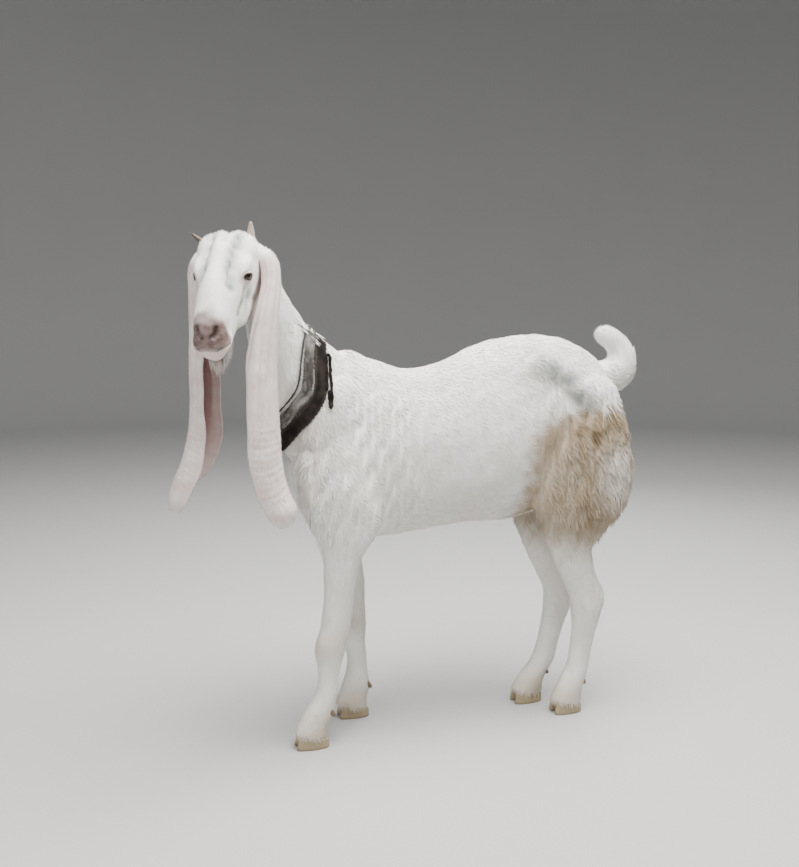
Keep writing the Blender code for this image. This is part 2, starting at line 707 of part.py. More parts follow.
def coronet_corners(foot):
    """The slanted top of a hoof, wider than the foot."""
    x, y, turn = FEET[foot]
    toe = Vector((-math.cos(turn), math.sin(turn) * (1 if y > 0 else -1), 0.0))
    side = Vector((-toe.y, toe.x, 0.0))
    middle = Vector((x, y, (CORONET_TOE + CORONET_HEEL) / 2))
    rise = Vector((0, 0, (CORONET_TOE - CORONET_HEEL) / 2))
    spread = 1.6
    half = HOOF_LENGTH / 2
    return [middle + (toe * half + rise) * spread * a + side * HOOF_WIDTH * 0.8 * b
            for a, b in ((1, 1), (1, -1), (-1, -1), (-1, 1))]


def part_flesh(body):
    """Cuts the flesh into its named parts."""
    cuts = [slab([head_point(p) for p in HEAD_CUT]), slab(NECK_CUT), slab(TAIL_CUT)]
    for side in (-1, 1):
        inner, outer = FORELEG_CUT
        cuts.append(slab([(x, side * y, z - FORELEG_CUT_FALL * (x + 0.25)) for x, (y, z) in
                          ((-0.38, inner), (-0.10, inner), (-0.10, outer), (-0.38, outer))]))
        cuts.append(slab([(x, side * y, thigh_height(x, -y)) for x, y in
                          ((0.10, 0.0), (0.45, 0.0), (0.45, 0.17), (0.10, 0.17))]))
    ridge = [(x, thigh_height(x, 0.0)) for x in (0.22, 0.45)]
    cuts.append(slab([(ridge[0][0], 0, ridge[0][1]), (ridge[1][0], 0, ridge[1][1]),
                      (ridge[1][0], 0, 0.42), (ridge[0][0], 0, 0.42)]))
    cuts.append(level_slab(0.12, 0.45, -0.14, 0.14, SHANK_CUT))
    for foot in FEET:
        cuts.append(slab(coronet_corners(foot)))
    for cut in cuts:
        combine(body, cut, "DIFFERENCE")
    nodes = {}
    for piece in split_islands(body):
        corners = [Vector(v.co) for v in piece.data.vertices]
        middle = Vector([(min(c[k] for c in corners) + max(c[k] for c in corners)) / 2 for k in range(3)])
        name = min(PLACES, key=lambda key: (Vector(PLACES[key]) - middle).length)
        if name.startswith("stub") or name in nodes:
            bpy.data.objects.remove(piece)
            continue
        piece.name = name
        nodes[name] = piece
    return nodes


def inflated(host, amount=GAP):
    """A copy of a part, grown by the gap that touching parts keep."""
    copy = host.copy()
    copy.data = host.data.copy()
    bpy.data.collections[COLLECTION].objects.link(copy)
    built = bmesh.new()
    built.from_mesh(copy.data)
    built.normal_update()
    for vertex, normal in [(v, v.normal.copy()) for v in built.verts]:
        vertex.co += normal * amount
    built.to_mesh(copy.data)
    built.free()
    return copy


def seat(piece, *hosts):
    """Cuts a piece's sunk root along the skin of the parts that it grows from."""
    for host in hosts:
        combine(piece, inflated(host, GAP * 1.5), "DIFFERENCE")
    return keep_largest(piece)


def ear(name, rows, head_node, neck_node):
    """A hanging ear: a long leaf rolled lengthwise, open towards its given side."""
    length = sum((Vector(b[:3]) - Vector(a[:3])).length for a, b in zip(rows, rows[1:]))
    table = smooth_rows(rows, length / EAR_RINGS, 3)
    ways = np.gradient(table[:, :3], axis=0)
    rings = []
    for k, (row, way) in enumerate(zip(table, ways)):
        centre, way = Vector(row[:3]), Vector(way).normalized()
        facing = math.radians(row[5])
        open_way = Vector((math.cos(facing), math.sin(facing), 0.0))
        open_way = (open_way - way * open_way.dot(way)).normalized()
        side = way.cross(open_way)
        thick = EAR_THICKNESS * (EAR_HEM if k > len(table) - 3 else 1.0)
        reach = math.radians(row[4])
        ring = []
        for radius, order in ((row[3], 1), (row[3] - thick, -1)):
            for i in range(EAR_ARC_POINTS):
                angle = order * reach * (2 * i / (EAR_ARC_POINTS - 1) - 1)
                ring.append(centre - open_way * radius * math.cos(angle) + side * radius * math.sin(angle))
        rings.append(ring)
    made = loft(name, rings)
    triangulate(made)
    return seat(made, head_node, neck_node)


def triangulate(thing):
    built = bmesh.new()
    built.from_mesh(thing.data)
    bmesh.ops.triangulate(built, faces=built.faces)
    built.to_mesh(thing.data)
    built.free()
    return thing


def horn(side, head_node):
    root, way = Vector(HORN_ROOTS[side]), Vector(HORN_WAYS[side]).normalized()
    length = HORN_LENGTHS[side]
    points, radii = [], []
    for i in range(9):
        t = i / 8
        place = root + way * length * ((1.0 + HORN_SINK) * t - HORN_SINK) + Vector(HORN_BOW) * length * t * t
        points.append(head_point(place))
        radii.append(HORN_RADII[side] * (1.0 - HORN_TAPER * t ** 2.2))
    return seat(tube("horn_" + side, points, radii, 10), head_node)


def eye_frame(side):
    place = Vector(EYE_PLACE)
    gaze = Vector(EYE_GAZE).normalized()
    centre = head_point((place.x, place.y, place.z * side))
    out = head_vector((gaze.x, gaze.y, gaze.z * side)).normalized()
    length = head_vector(EYE_SLANT)
    length = (length - out * length.dot(out)).normalized()
    return centre, out, length, out.cross(length)


def open_eye(head_node, side):
    """Lids round an almond opening, with the socket behind them."""
    centre, out, length, height = eye_frame(side)
    outer = EYE_RADIUS + LID_THICKNESS
    combine(head_node, ellipsoid("lids", centre, (outer, outer, outer), None, EYE_SEGMENTS), "UNION")
    socket = EYE_RADIUS + GAP
    hollow = ellipsoid("socket", centre, (socket, socket, socket), None, EYE_SEGMENTS)
    combine(head_node, hollow, "DIFFERENCE")
    almond = ellipsoid("almond", centre + out * EYE_RADIUS * 1.5,
                       (LID_HALF_LENGTH, LID_HALF_HEIGHT, EYE_RADIUS * 1.5), (length, height, out), 20)
    combine(head_node, almond, "DIFFERENCE")


def eye(name, side):
    centre = eye_frame(side)[0]
    return ellipsoid(name, centre, (EYE_RADIUS, EYE_RADIUS, EYE_RADIUS), None, EYE_SEGMENTS)


def surface(thing):
    built = bmesh.new()
    built.from_mesh(thing.data)
    tree = BVHTree.FromBMesh(built)
    built.free()
    return tree


def open_mouth(head_node):
    """Raised lips with the line of the mouth between them."""
    tree = surface(head_node)
    half = smooth_rows(MOUTH_LINE, 0.006)
    line = [mirrored(p) for p in reversed(half[1:].tolist())] + half.tolist()
    points = [tree.find_nearest(head_point(p))[0] for p in line]
    middle = head_point(MOUTH_MIDDLE)
    points = [p + (middle - p).normalized() * LIP_RADIUS * 0.45 for p in points]
    last = len(points) - 1
    lip = [LIP_RADIUS * (0.55 + 0.45 * math.sin(math.pi * i / last)) for i in range(last + 1)]
    combine(head_node, tube("lips", points, lip), "UNION")
    tree = surface(head_node)
    outward = [tree.find_nearest(p + (p - middle).normalized() * LIP_RADIUS * 4)[0] for p in points]
    combine(head_node, tube("mouth", outward, [MOUTH_OPENING] * len(outward), 6), "DIFFERENCE")


def open_nostril(head_node, side):
    place, out, slant = ((p[0], p[1], p[2] * side) for p in (NOSTRIL_PLACE, NOSTRIL_OUT, NOSTRIL_SLANT))
    out, slant = head_vector(out).normalized(), head_vector(slant)
    slant = (slant - out * slant.dot(out)).normalized()
    frame = (slant, out.cross(slant), out)
    rim, hole = head_point(place) - out * NOSTRIL_RIM[1] / 2, head_point(place) + out * NOSTRIL_HOLE[1]
    combine(head_node, ellipsoid("rim", rim, NOSTRIL_RIM, frame, 12), "UNION")
    combine(head_node, ellipsoid("nostril", hole, NOSTRIL_HOLE, frame, 12), "DIFFERENCE")


def hoof(name, foot, inner):
    """One claw of a cloven hoof, flat on the floor and flat under the coronet."""
    x, y, turn = FEET[foot]
    toe = Vector((-math.cos(turn), math.sin(turn) * (1 if y > 0 else -1), 0.0))
    side = Vector((0, -1 if (y > 0) == inner else 1, 0))
    side = (side - toe * side.dot(toe)).normalized()
    width = (HOOF_WIDTH - CLEFT) / 2
    rings = []
    middle, fall = (CORONET_TOE + CORONET_HEEL) / 2, (CORONET_TOE - CORONET_HEEL) / HOOF_LENGTH
    for t in HOOF_LEVELS:
        ring = []
        for i in range(HOOF_POINTS):
            angle = 2 * math.pi * i / HOOF_POINTS
            a = math.copysign(abs(math.cos(angle)) ** 0.8, math.cos(angle))
            b = math.copysign(abs(math.sin(angle)) ** 0.7, math.sin(angle))
            spread = (0.94 if t == 0 else 1.0) * (1.0 - 0.10 * t)
            forward = a * HOOF_LENGTH / 2 * spread - HOOF_LEAN * t
            narrow = 1.0 - 0.28 * max(0.0, a)
            outward = CLEFT / 2 + width / 2 + b * width / 2 * narrow * spread
            outward = max(outward, CLEFT / 2)
            top = middle + fall * forward - GAP * 1.2
            ring.append(Vector((x, y, 0.0)) + toe * forward + side * outward + Vector((0, 0, top * t)))
        rings.append(ring)
    return loft(name, rings)


def dewclaw(name, foot, inner, leg_node):
    """A small blunt claw on the back of the pastern."""
    end, way = foot.split("_")
    back, beside, up = DEWCLAWS[end]
    x = FEET[end + "_left"][0]
    if way == "right":
        heights, moves = zip(*(RIGHT_FORE_SHIFT if end == "fore" else RIGHT_HIND_SHIFT))
        x += float(np.interp(up, heights, moves))
    y = FEET[foot][1]
    side = 1 if (y < 0) == inner else -1
    place = Vector((x + back, y + side * beside, up))
    root, tip = place + DEWCLAW_ROOT, place + DEWCLAW_TIP * Vector((1.0, side, 1.0))
    points = [root.lerp(tip, t) for t, radius in DEWCLAW_RADII]
    return seat(tube(name, points, [radius for t, radius in DEWCLAW_RADII]), leg_node)


def lock(root, lie, length, width, hug, tree):
    """A flat, tapered lock: its root is sunk in the skin, and its tip stands a little off it.

    hug is 1 where the lock follows the skin all the way and 0 where it hangs straight.
    """
    start, normal = tree.find_nearest(root)[:2]
    way = (lie - normal * lie.dot(normal) * hug).normalized()
    rings = []
    for i in range(LOCK_RINGS + 1):
        t = i / LOCK_RINGS
        straight = start + way * length * t
        near, facing = tree.find_nearest(straight)[:2]
        normal = (normal * (1 - hug) + facing * hug).normalized()
        centre = straight.lerp(near, hug) + normal * (LOCK_LIFT * t ** 0.7 - LOCK_SINK * (1 - t) ** 2)
        side = normal.cross(way).normalized()
        half = (width / 2 - LOCK_TIP) * (0.7 + min(t, 0.3)) * (1 - t ** 2.4) + LOCK_TIP
        thick = (LOCK_THICKNESS - LOCK_TIP) * (1 - t ** 1.6) + LOCK_TIP
        rings.append([centre + side * half, centre + normal * thick / 2,
                      centre - side * half, centre - normal * thick / 2])
    return triangulate(loft("lock", rings))


def cleared(pieces, *hosts):
    """The same pieces, cut clear of the parts that they don't grow from."""
    return [seat(piece, *hosts) for piece in pieces]


def thigh_locks(side, tree, draw):
    """Rows of shaggy locks down the thigh, which overlap and hang free behind it."""
    made = []
    for height, first, last, count, length, width in THIGH_LOCKS:
        for i in range(count):
            t = i / (count - 1)
            x = first + (last - first) * t + draw.uniform(-0.004, 0.004)
            z = height + draw.uniform(-0.010, 0.010)
            root = tree.ray_cast(Vector((x, side * THIGH_OUTSIDE, z)), Vector((0, -side, 0)))[0]
            lie = THIGH_LIE + Vector((draw.uniform(-0.12, 0.12), 0, 0))
            hug = THIGH_HUG[0] + (THIGH_HUG[1] - THIGH_HUG[0]) * t ** 4
            size = draw.uniform(0.88, 1.12)
            made.append(lock(root, lie, length * size, width * size, hug, tree))
    return made


def tail_locks(tree):
    rows = smooth_rows(TAIL, RING_STEP / 2, 2)
    ways = np.gradient(rows[:, :2], axis=0)
    made = []
    for t, angle, length, width in TAIL_LOCKS:
        k = int(t * (len(rows) - 1))
        along = Vector((ways[k][0], 0.0, ways[k][1])).normalized()
        out = Vector((along.z, 0.0, -along.x))
        turned = out * math.cos(math.radians(angle)) + Vector((0, 1, 0)) * math.sin(math.radians(angle))
        root = Vector((rows[k][0], 0.0, rows[k][1])) + turned * rows[k][2]
        made.append(lock(root, along, length, width, TAIL_HUG, tree))
    return made


def beard_locks(tree):
    return [lock(head_point(place), BEARD_LIE, length, width, 0.0, tree)
            for place, length, width in BEARD_LOCKS]


def belt_place(high, low, angle, offset, sweep, tree):
    """A point inside the neck on a loop's plane, the way out of it, and how far off the skin is."""
    upward = (high - low).normalized()
    along = Vector((-upward.z, 0.0, upward.x))
    out = upward * math.cos(angle) + Vector((0, 1, 0)) * math.sin(angle)
    middle = high + upward * (BELT_AXIS - high).dot(upward)
    middle += along * (offset + sweep * math.sin(angle) ** 2)
    return middle, out, BELT_START - tree.ray_cast(middle + out * BELT_START, -out)[3]


def belt(name, high, low, width, thickness, slack, sweep, tree):
    """A closed loop round the neck that rests on it and hangs a little free below."""
    rows = []
    lanes = (-0.5, 0.0, 0.5) if width > 2 * thickness else (-0.5, 0.5)
    for i in range(BELT_STEPS):
        angle = 2 * math.pi * i / BELT_STEPS
        line = []
        for k in lanes:
            middle, out, reach = belt_place(high, low, angle, width * k, sweep, tree)
            line.append((middle, out, reach + BELT_CLEARANCE + slack * max(0.0, -math.cos(angle)) ** 2))
        rows.append(line)
    rings = []
    for line in rows:
        inner = [middle + out * reach for middle, out, reach in line]
        outer = [middle + out * (reach + thickness) for middle, out, reach in reversed(line)]
        rings.append(inner + outer)
    built = bmesh.new()
    loops = [[built.verts.new(p) for p in ring] for ring in rings]
    for a, b in zip(loops, loops[1:] + loops[:1]):
        for i in range(len(a)):
            j = (i + 1) % len(a)
            built.faces.new((a[i], a[j], b[j], b[i]))
    bmesh.ops.triangulate(built, faces=built.faces)
    bmesh.ops.recalc_face_normals(built, faces=built.faces)
    return finish_mesh(name, built)


def knot(name, tree, strap, neighbours):
    """The strap's knotted end, which hangs behind its left side."""
    high, low, width, thickness, slack, sweep = STRAP
    middle, out, reach = belt_place(high, low, KNOT_ANGLE, -width / 2 - KNOT_RADII[1], sweep, tree)
    start = middle + out * (reach + KNOT_OFF_SKIN)
    points = []
    for i in range(len(KNOT_RADII)):
        hang = start - Vector((0, 0, 1)) * KNOT_LENGTH * i / (len(KNOT_RADII) - 1)
        near = tree.find_nearest(hang)[0]
        points.append(near + (hang - near).normalized() * KNOT_OFF_SKIN)
    return seat(tube(name, points, KNOT_RADII), strap, *neighbours)


def dress(thing, finish):
    thing.data.materials.clear()
    thing.data.materials.append(finish)
    thing.data.shade_smooth()
    thing.data.set_sharp_from_angle(angle=EDGE_ANGLE)
    return thing


def stand_in_the_middle():
    """Moves the goat so that the middle of its outline stands over the origin."""
    things = bpy.data.collections[COLLECTION].objects
    places = np.array([v.co for thing in things for v in thing.data.vertices])
    middle = (places.min(axis=0) + places.max(axis=0)) / 2
    for thing in things:
        thing.location = (-middle[0], -middle[1], 0.0)


def main():
    for thing in list(bpy.data.objects):
        bpy.data.objects.remove(thing)
    bpy.context.scene.collection.children.link(bpy.data.collections.new(COLLECTION))
    coat = material("coat", COAT, 0.85)
    tan = material("coat_tan", COAT_TAN, 0.9)
    pink = material("ear_skin", EAR_PINK, 0.6)
    pale_horn = material("horn", HORN_PALE, 0.45)
    hoof_horn = material("hoof", HOOF_YELLOW, 0.5)

    body = flesh()
    skin = surface(body)
    nodes = part_flesh(body)
    head_node, neck_node = nodes["head"], nodes["neck"]
    open_mouth(head_node)
    for side in (1, -1):
        open_eye(head_node, side)
        open_nostril(head_node, side)
    fuse(head_node, beard_locks(skin))
    draw = random.Random(LOCK_SEED)
    body_parts = [nodes[name] for name in ("torso", "tail", "hindleg_left", "hindleg_right")]
    for side, name, other in ((-1, "thigh_left", "thigh_right"), (1, "thigh_right", "thigh_left")):
        fuse(nodes[name], cleared(thigh_locks(side, skin, draw), nodes[other], *body_parts))
    fuse(nodes["tail"], cleared(tail_locks(skin), nodes["torso"], nodes["thigh_left"], nodes["thigh_right"]))
    for name, node in nodes.items():
        dress(node, tan if name.startswith("thigh") else coat)

    dress(ear("ear_left", LEFT_EAR, head_node, neck_node), pink)
    dress(ear("ear_right", RIGHT_EAR, head_node, neck_node), pink)
    for name, side in (("left", 1), ("right", -1)):
        dress(horn(name, head_node), pale_horn)
        dress(eye("eye_" + name, side), material("eye", EYE_DARK, 0.08))
    for foot in FEET:
        for claw, inner in (("inner", True), ("outer", False)):
            dress(hoof("hoof_%s_%s" % (foot, claw), foot, inner), hoof_horn)
        leg_node = nodes["foreleg_" + foot[5:]] if foot.startswith("fore") else nodes["hindleg_" + foot[5:]]
        for claw, inner in (("inner", True), ("outer", False)):
            dress(dewclaw("dewclaw_%s_%s" % (foot, claw), foot, inner, leg_node), hoof_horn)

    strap = dress(belt("collar_strap", *STRAP, skin), material("strap", STRAP_BROWN, 0.8))
    dress(knot("collar_knot", skin, strap, (neck_node, nodes["torso"])), material("strap", STRAP_BROWN, 0.8))
    dress(belt("collar_band", *BAND, skin), material("band", BAND_GREY, 0.9))
    dress(belt("collar_cord", *CORD, skin), material("cord", CORD_BLACK, 0.7))
    stand_in_the_middle()


main()
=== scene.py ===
"""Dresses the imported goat: one skin over its flesh and ears, a coat of solid tufts, and finished eyes,
horns, hooves, dewclaws and collar, on a plain stage.

Metres, +Z up. The shapes are worked out in the goat's own frame, where it faces -X, its left side is
towards -Y and the floor is Z = 0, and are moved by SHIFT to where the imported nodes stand.
"""

import math

import bmesh
import bpy
import numpy as np
from bpy.props import FloatProperty, FloatVectorProperty, PointerProperty
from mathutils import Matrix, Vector
from mathutils.bvhtree import BVHTree


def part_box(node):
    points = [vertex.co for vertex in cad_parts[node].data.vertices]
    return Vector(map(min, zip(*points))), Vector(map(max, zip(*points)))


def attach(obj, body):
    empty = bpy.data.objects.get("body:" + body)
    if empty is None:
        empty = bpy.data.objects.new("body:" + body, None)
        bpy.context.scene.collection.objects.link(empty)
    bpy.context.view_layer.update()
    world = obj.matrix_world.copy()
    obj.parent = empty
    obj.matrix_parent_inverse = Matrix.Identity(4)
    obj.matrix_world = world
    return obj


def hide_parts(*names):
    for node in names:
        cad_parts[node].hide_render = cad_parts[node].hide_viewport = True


bl_info = {
    "name": "Long-eared goat",
    "version": (1, 0, 0),
    "blender": (4, 5, 0),
    "location": "View3D > Sidebar > Goat",
    "description": "Dresses a packed long-eared goat with its skin, coat, eyes, horns, hooves and collar",
    "category": "Object",
}

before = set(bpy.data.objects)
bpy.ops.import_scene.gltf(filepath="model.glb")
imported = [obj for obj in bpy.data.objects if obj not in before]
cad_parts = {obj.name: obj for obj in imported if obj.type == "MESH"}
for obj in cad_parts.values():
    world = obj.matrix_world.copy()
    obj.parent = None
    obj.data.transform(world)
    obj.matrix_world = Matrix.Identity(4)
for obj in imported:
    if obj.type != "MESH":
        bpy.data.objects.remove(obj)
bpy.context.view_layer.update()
BODY = "root"

# The trunk, one row for each station from the brisket to the rump:
# x, height of the back, height of the belly, height of the widest place, half width, roundness above
TRUNK = (
    (-0.338, 0.65, 0.52, 0.585, 0.03, 2.0),
    (-0.318, 0.72, 0.47, 0.59, 0.066, 2.0),
    (-0.285, 0.818, 0.442, 0.6, 0.084, 1.8),
    (-0.24, 0.845, 0.434, 0.605, 0.094, 1.6),
    (-0.18, 0.826, 0.436, 0.6, 0.104, 1.7),
    (-0.11, 0.803, 0.443, 0.595, 0.116, 1.9),
    (-0.03, 0.815, 0.452, 0.6, 0.123, 1.9),
    (0.05, 0.85, 0.459, 0.612, 0.121, 1.8),
    (0.12, 0.868, 0.458, 0.632, 0.112, 1.8),
    (0.19, 0.875, 0.474, 0.67, 0.102, 1.8),
    (0.25, 0.869, 0.5, 0.69, 0.094, 1.8),
    (0.31, 0.846, 0.535, 0.69, 0.082, 1.8),
    (0.36, 0.805, 0.575, 0.69, 0.062, 2.0),
    (0.392, 0.75, 0.625, 0.69, 0.032, 2.0),
)
# The neck between two rails: crest x, y, z, throat x, y, z, half width
NECK = (
    (-0.205, 0.0, 0.8, -0.28, 0.0, 0.5, 0.07),
    (-0.262, 0.0, 0.85, -0.34, 0.0, 0.59, 0.07),
    (-0.298, 0.0, 0.874, -0.38, 0.0, 0.662, 0.06),
    (-0.334, -0.002, 0.914, -0.408, 0.0, 0.732, 0.056),
    (-0.361, -0.006, 0.964, -0.425, -0.001, 0.802, 0.053),
    (-0.393, -0.016, 1.009, -0.438, -0.004, 0.87, 0.05),
    (-0.432, -0.034, 1.036, -0.449, -0.01, 0.93, 0.047),
    (-0.462, -0.056, 1.056, -0.462, -0.034, 0.972, 0.04),
)
# The head: the point midway between the eyes, how far it is turned to the left, and how far it hangs
EYE_LINE = Vector((-0.49, -0.105, 0.981))
HEAD_TURN = math.radians(66)
HEAD_DROP = math.radians(43)
# Along the head from the nape to the lips:
# distance before the eyes, top, underside, widest level, half width, roundness above
HEAD = (
    (-0.112, 0.01, -0.06, -0.025, 0.032, 2.0),
    (-0.098, 0.036, -0.08, -0.018, 0.05, 2.0),
    (-0.07, 0.056, -0.092, -0.01, 0.06, 2.2),
    (-0.035, 0.063, -0.096, -0.008, 0.062, 2.2),
    (0.0, 0.061, -0.098, -0.008, 0.058, 2.0),
    (0.03, 0.057, -0.092, -0.014, 0.049, 1.9),
    (0.06, 0.05, -0.086, -0.02, 0.042, 2.1),
    (0.09, 0.04, -0.08, -0.024, 0.038, 2.2),
    (0.115, 0.028, -0.077, -0.026, 0.036, 2.3),
    (0.135, 0.014, -0.075, -0.03, 0.034, 2.3),
    (0.15, 0.001, -0.07, -0.034, 0.029, 2.2),
    (0.16, -0.012, -0.06, -0.037, 0.019, 2.0),
)
# Rounded masses added on both sides: place and radii, those of the head and the chin in the head's directions
HEAD_MASSES = (
    ((-0.05, 0.02, 0.03), (0.04, 0.036, 0.032)),
    ((-0.01, 0.024, 0.04), (0.034, 0.02, 0.018)),
    ((-0.078, 0.0, 0.046), (0.026, 0.02, 0.018)),
    ((0.03, -0.04, 0.036), (0.05, 0.032, 0.016)),
)
CHIN_PLACE = (0.136, -0.06, 0.0)
CHIN_RADII = (0.018, 0.017, 0.02)
BODY_MASSES = (
    ((-0.258, -0.052, 0.665), (0.08, 0.04, 0.125)),
    ((-0.315, -0.045, 0.59), (0.034, 0.04, 0.075)),
    ((0.19, -0.054, 0.785), (0.06, 0.03, 0.05)),
    ((0.345, -0.04, 0.735), (0.04, 0.026, 0.045)),
)
# Points in one ring of the trunk, of the head and neck, and of a leg or the tail, and the roundness of the
# underside of the trunk and of the head
TRUNK_POINTS = 48
HEAD_POINTS = 40
LIMB_POINTS = 32
BELLY_ROUNDNESS = 2.2
JAW_ROUNDNESS = 1.9
# Metres from ring to ring, the points round a rounded mass, and the angle from its poles to the first ring
TRUNK_STEP = 0.01
HEAD_STEP = 0.005
LEG_STEP = 0.008
TAIL_STEP = 0.006
BALL_POINTS = 32
BALL_POLE = 0.02
# A leg is a stack of level slices of the left leg:
# height, front x, back x, distance from the middle, half width
FORELEG = (
    (0.006, -0.366, -0.292, 0.065, 0.0262),
    (0.03, -0.364, -0.293, 0.065, 0.0265),
    (0.045, -0.36, -0.291, 0.065, 0.0258),
    (0.06, -0.352, -0.284, 0.065, 0.0252),
    (0.078, -0.341, -0.276, 0.065, 0.0248),
    (0.1, -0.325, -0.273, 0.065, 0.0235),
    (0.125, -0.315, -0.269, 0.066, 0.021),
    (0.155, -0.311, -0.265, 0.066, 0.02),
    (0.18, -0.313, -0.261, 0.067, 0.0215),
    (0.203, -0.317, -0.255, 0.068, 0.0265),
    (0.228, -0.315, -0.25, 0.069, 0.0285),
    (0.255, -0.305, -0.245, 0.07, 0.0265),
    (0.31, -0.298, -0.236, 0.07, 0.0265),
    (0.36, -0.296, -0.228, 0.071, 0.029),
    (0.41, -0.301, -0.213, 0.073, 0.032),
    (0.445, -0.312, -0.192, 0.076, 0.0345),
    (0.49, -0.328, -0.165, 0.078, 0.0345),
    (0.55, -0.335, -0.15, 0.078, 0.033),
    (0.61, -0.328, -0.165, 0.074, 0.03),
    (0.68, -0.3, -0.185, 0.066, 0.026),
)
HINDLEG = (
    (0.006, 0.237, 0.312, 0.04, 0.0262),
    (0.032, 0.239, 0.312, 0.04, 0.0265),
    (0.06, 0.252, 0.315, 0.04, 0.0252),
    (0.08, 0.263, 0.322, 0.04, 0.0245),
    (0.105, 0.274, 0.329, 0.041, 0.0225),
    (0.14, 0.281, 0.334, 0.042, 0.0205),
    (0.185, 0.285, 0.342, 0.044, 0.0205),
    (0.225, 0.284, 0.353, 0.046, 0.0235),
    (0.255, 0.28, 0.361, 0.048, 0.0255),
    (0.282, 0.274, 0.361, 0.05, 0.0245),
    (0.31, 0.26, 0.346, 0.052, 0.024),
    (0.35, 0.24, 0.331, 0.055, 0.026),
    (0.39, 0.221, 0.324, 0.058, 0.0295),
    (0.43, 0.199, 0.35, 0.062, 0.035),
    (0.47, 0.185, 0.386, 0.064, 0.04),
    (0.515, 0.174, 0.408, 0.064, 0.043),
    (0.57, 0.168, 0.416, 0.062, 0.045),
    (0.63, 0.168, 0.41, 0.058, 0.045),
    (0.7, 0.18, 0.396, 0.052, 0.042),
    (0.77, 0.205, 0.368, 0.043, 0.034),
    (0.8, 0.235, 0.335, 0.034, 0.012),
)
# How far behind the left leg the right one stands at each height, less than 0 where it is ahead
RIGHT_FORE_SHIFT = ((0.0, 0.117), (0.06, 0.113), (0.1, 0.1), (0.17, 0.084), (0.24, 0.071),
                    (0.32, 0.055), (0.46, 0.012), (0.55, 0.0), (0.8, 0.0))
RIGHT_HIND_SHIFT = ((0.0, -0.066), (0.06, -0.062), (0.1, -0.05), (0.17, -0.038), (0.26, -0.025),
                    (0.35, -0.022), (0.45, -0.012), (0.55, 0.0), (0.8, 0.0))
LEGS = {"foreleg": (FORELEG, RIGHT_FORE_SHIFT), "hindleg": (HINDLEG, RIGHT_HIND_SHIFT)}
# The tail: x, z and radius along its line, which curls up and forward, and its width for its depth
TAIL = (
    (0.335, 0.785, 0.032),
    (0.378, 0.778, 0.042),
    (0.408, 0.79, 0.041),
    (0.4155, 0.818, 0.036),
    (0.404, 0.846, 0.03),
    (0.386, 0.864, 0.026),
    (0.369, 0.872, 0.024),
    (0.356, 0.875, 0.018),
    (0.348, 0.876, 0.009),
)
TAIL_FLATNESS = 0.78
# The hooves: height of the coronet at the toe and at the heel, length, width of the pair, gap of the cleft,
# and how far the wall leans back
CORONET_TOE = 0.031
CORONET_HEEL = 0.02
HOOF_LENGTH = 0.07
HOOF_WIDTH = 0.047
CLEFT = 0.004
HOOF_LEAN = 0.003
# The middle of each foot on the floor, and the way that its toes point
FEET = {
    "fore_left": (-0.326, -0.065, math.radians(4)),
    "fore_right": (-0.209, 0.065, math.radians(-4)),
    "hind_left": (0.275, -0.04, math.radians(6)),
    "hind_right": (0.209, 0.04, math.radians(-6)),
}
# The dewclaws: behind the middle of the foot, to its side and up
DEWCLAWS = {"fore": (0.047, 0.011, 0.072), "hind": (0.042, 0.011, 0.072)}
DEWCLAW_ROOT = Vector((-0.01, 0.0, 0.01))
DEWCLAW_TIP = Vector((0.006, 0.002, -0.009))
DEWCLAW_RADII = ((0.0, 0.0056), (0.45, 0.0056), (0.8, 0.0047), (1.0, 0.0026))
# The eyes: radius, the left one's place and the way it looks in the head's directions
EYE_RADIUS = 0.0135
EYE_PLACE = (0.004, 0.013, 0.043)
EYE_GAZE = (0.34, 0.16, 0.93)
EYE_SLANT = (0.8, 0.6, 0.0)
# The ears, hung from the sides of the poll: x, y, z of the middle line, radius of the rolled section,
# half of the angle that the roll covers, and the plan angle that its open side faces, in degrees from +X
EARS = {
    "left": (
        (-0.432, -0.072, 1.034, 0.016, 130, 165),
        (-0.408, -0.09, 1.02, 0.02, 135, 160),
        (-0.402, -0.102, 0.975, 0.021, 135, 156),
        (-0.41, -0.112, 0.93, 0.024, 132, 153),
        (-0.421, -0.114, 0.87, 0.03, 124, 151),
        (-0.428, -0.116, 0.81, 0.035, 114, 150),
        (-0.431, -0.118, 0.75, 0.038, 104, 148),
        (-0.431, -0.119, 0.69, 0.04, 98, 146),
        (-0.428, -0.12, 0.635, 0.04, 94, 143),
        (-0.419, -0.122, 0.585, 0.038, 92, 140),
        (-0.405, -0.125, 0.545, 0.037, 88, 136),
        (-0.391, -0.128, 0.515, 0.034, 82, 132),
        (-0.383, -0.13, 0.497, 0.02, 74, 130),
    ),
    "right": (
        (-0.514, -0.04, 1.034, 0.016, 130, -20),
        (-0.531, -0.032, 1.014, 0.02, 135, -30),
        (-0.535, -0.028, 0.96, 0.022, 134, -36),
        (-0.53, -0.026, 0.88, 0.028, 126, -38),
        (-0.526, -0.026, 0.8, 0.034, 114, -36),
        (-0.523, -0.028, 0.735, 0.037, 108, -32),
        (-0.528, -0.03, 0.655, 0.041, 108, -26),
        (-0.545, -0.032, 0.6, 0.04, 104, -12),
        (-0.568, -0.034, 0.56, 0.035, 98, 4),
        (-0.582, -0.036, 0.535, 0.028, 90, 14),
        (-0.592, -0.038, 0.517, 0.016, 80, 20),
    ),
}
EAR_THICKNESS = 0.004
# Metres from ring to ring of an ear's form, and from row to row where only its course counts
EAR_STEP = 0.003
EAR_LINE_STEP = 0.0042
EAR_ARC = 48
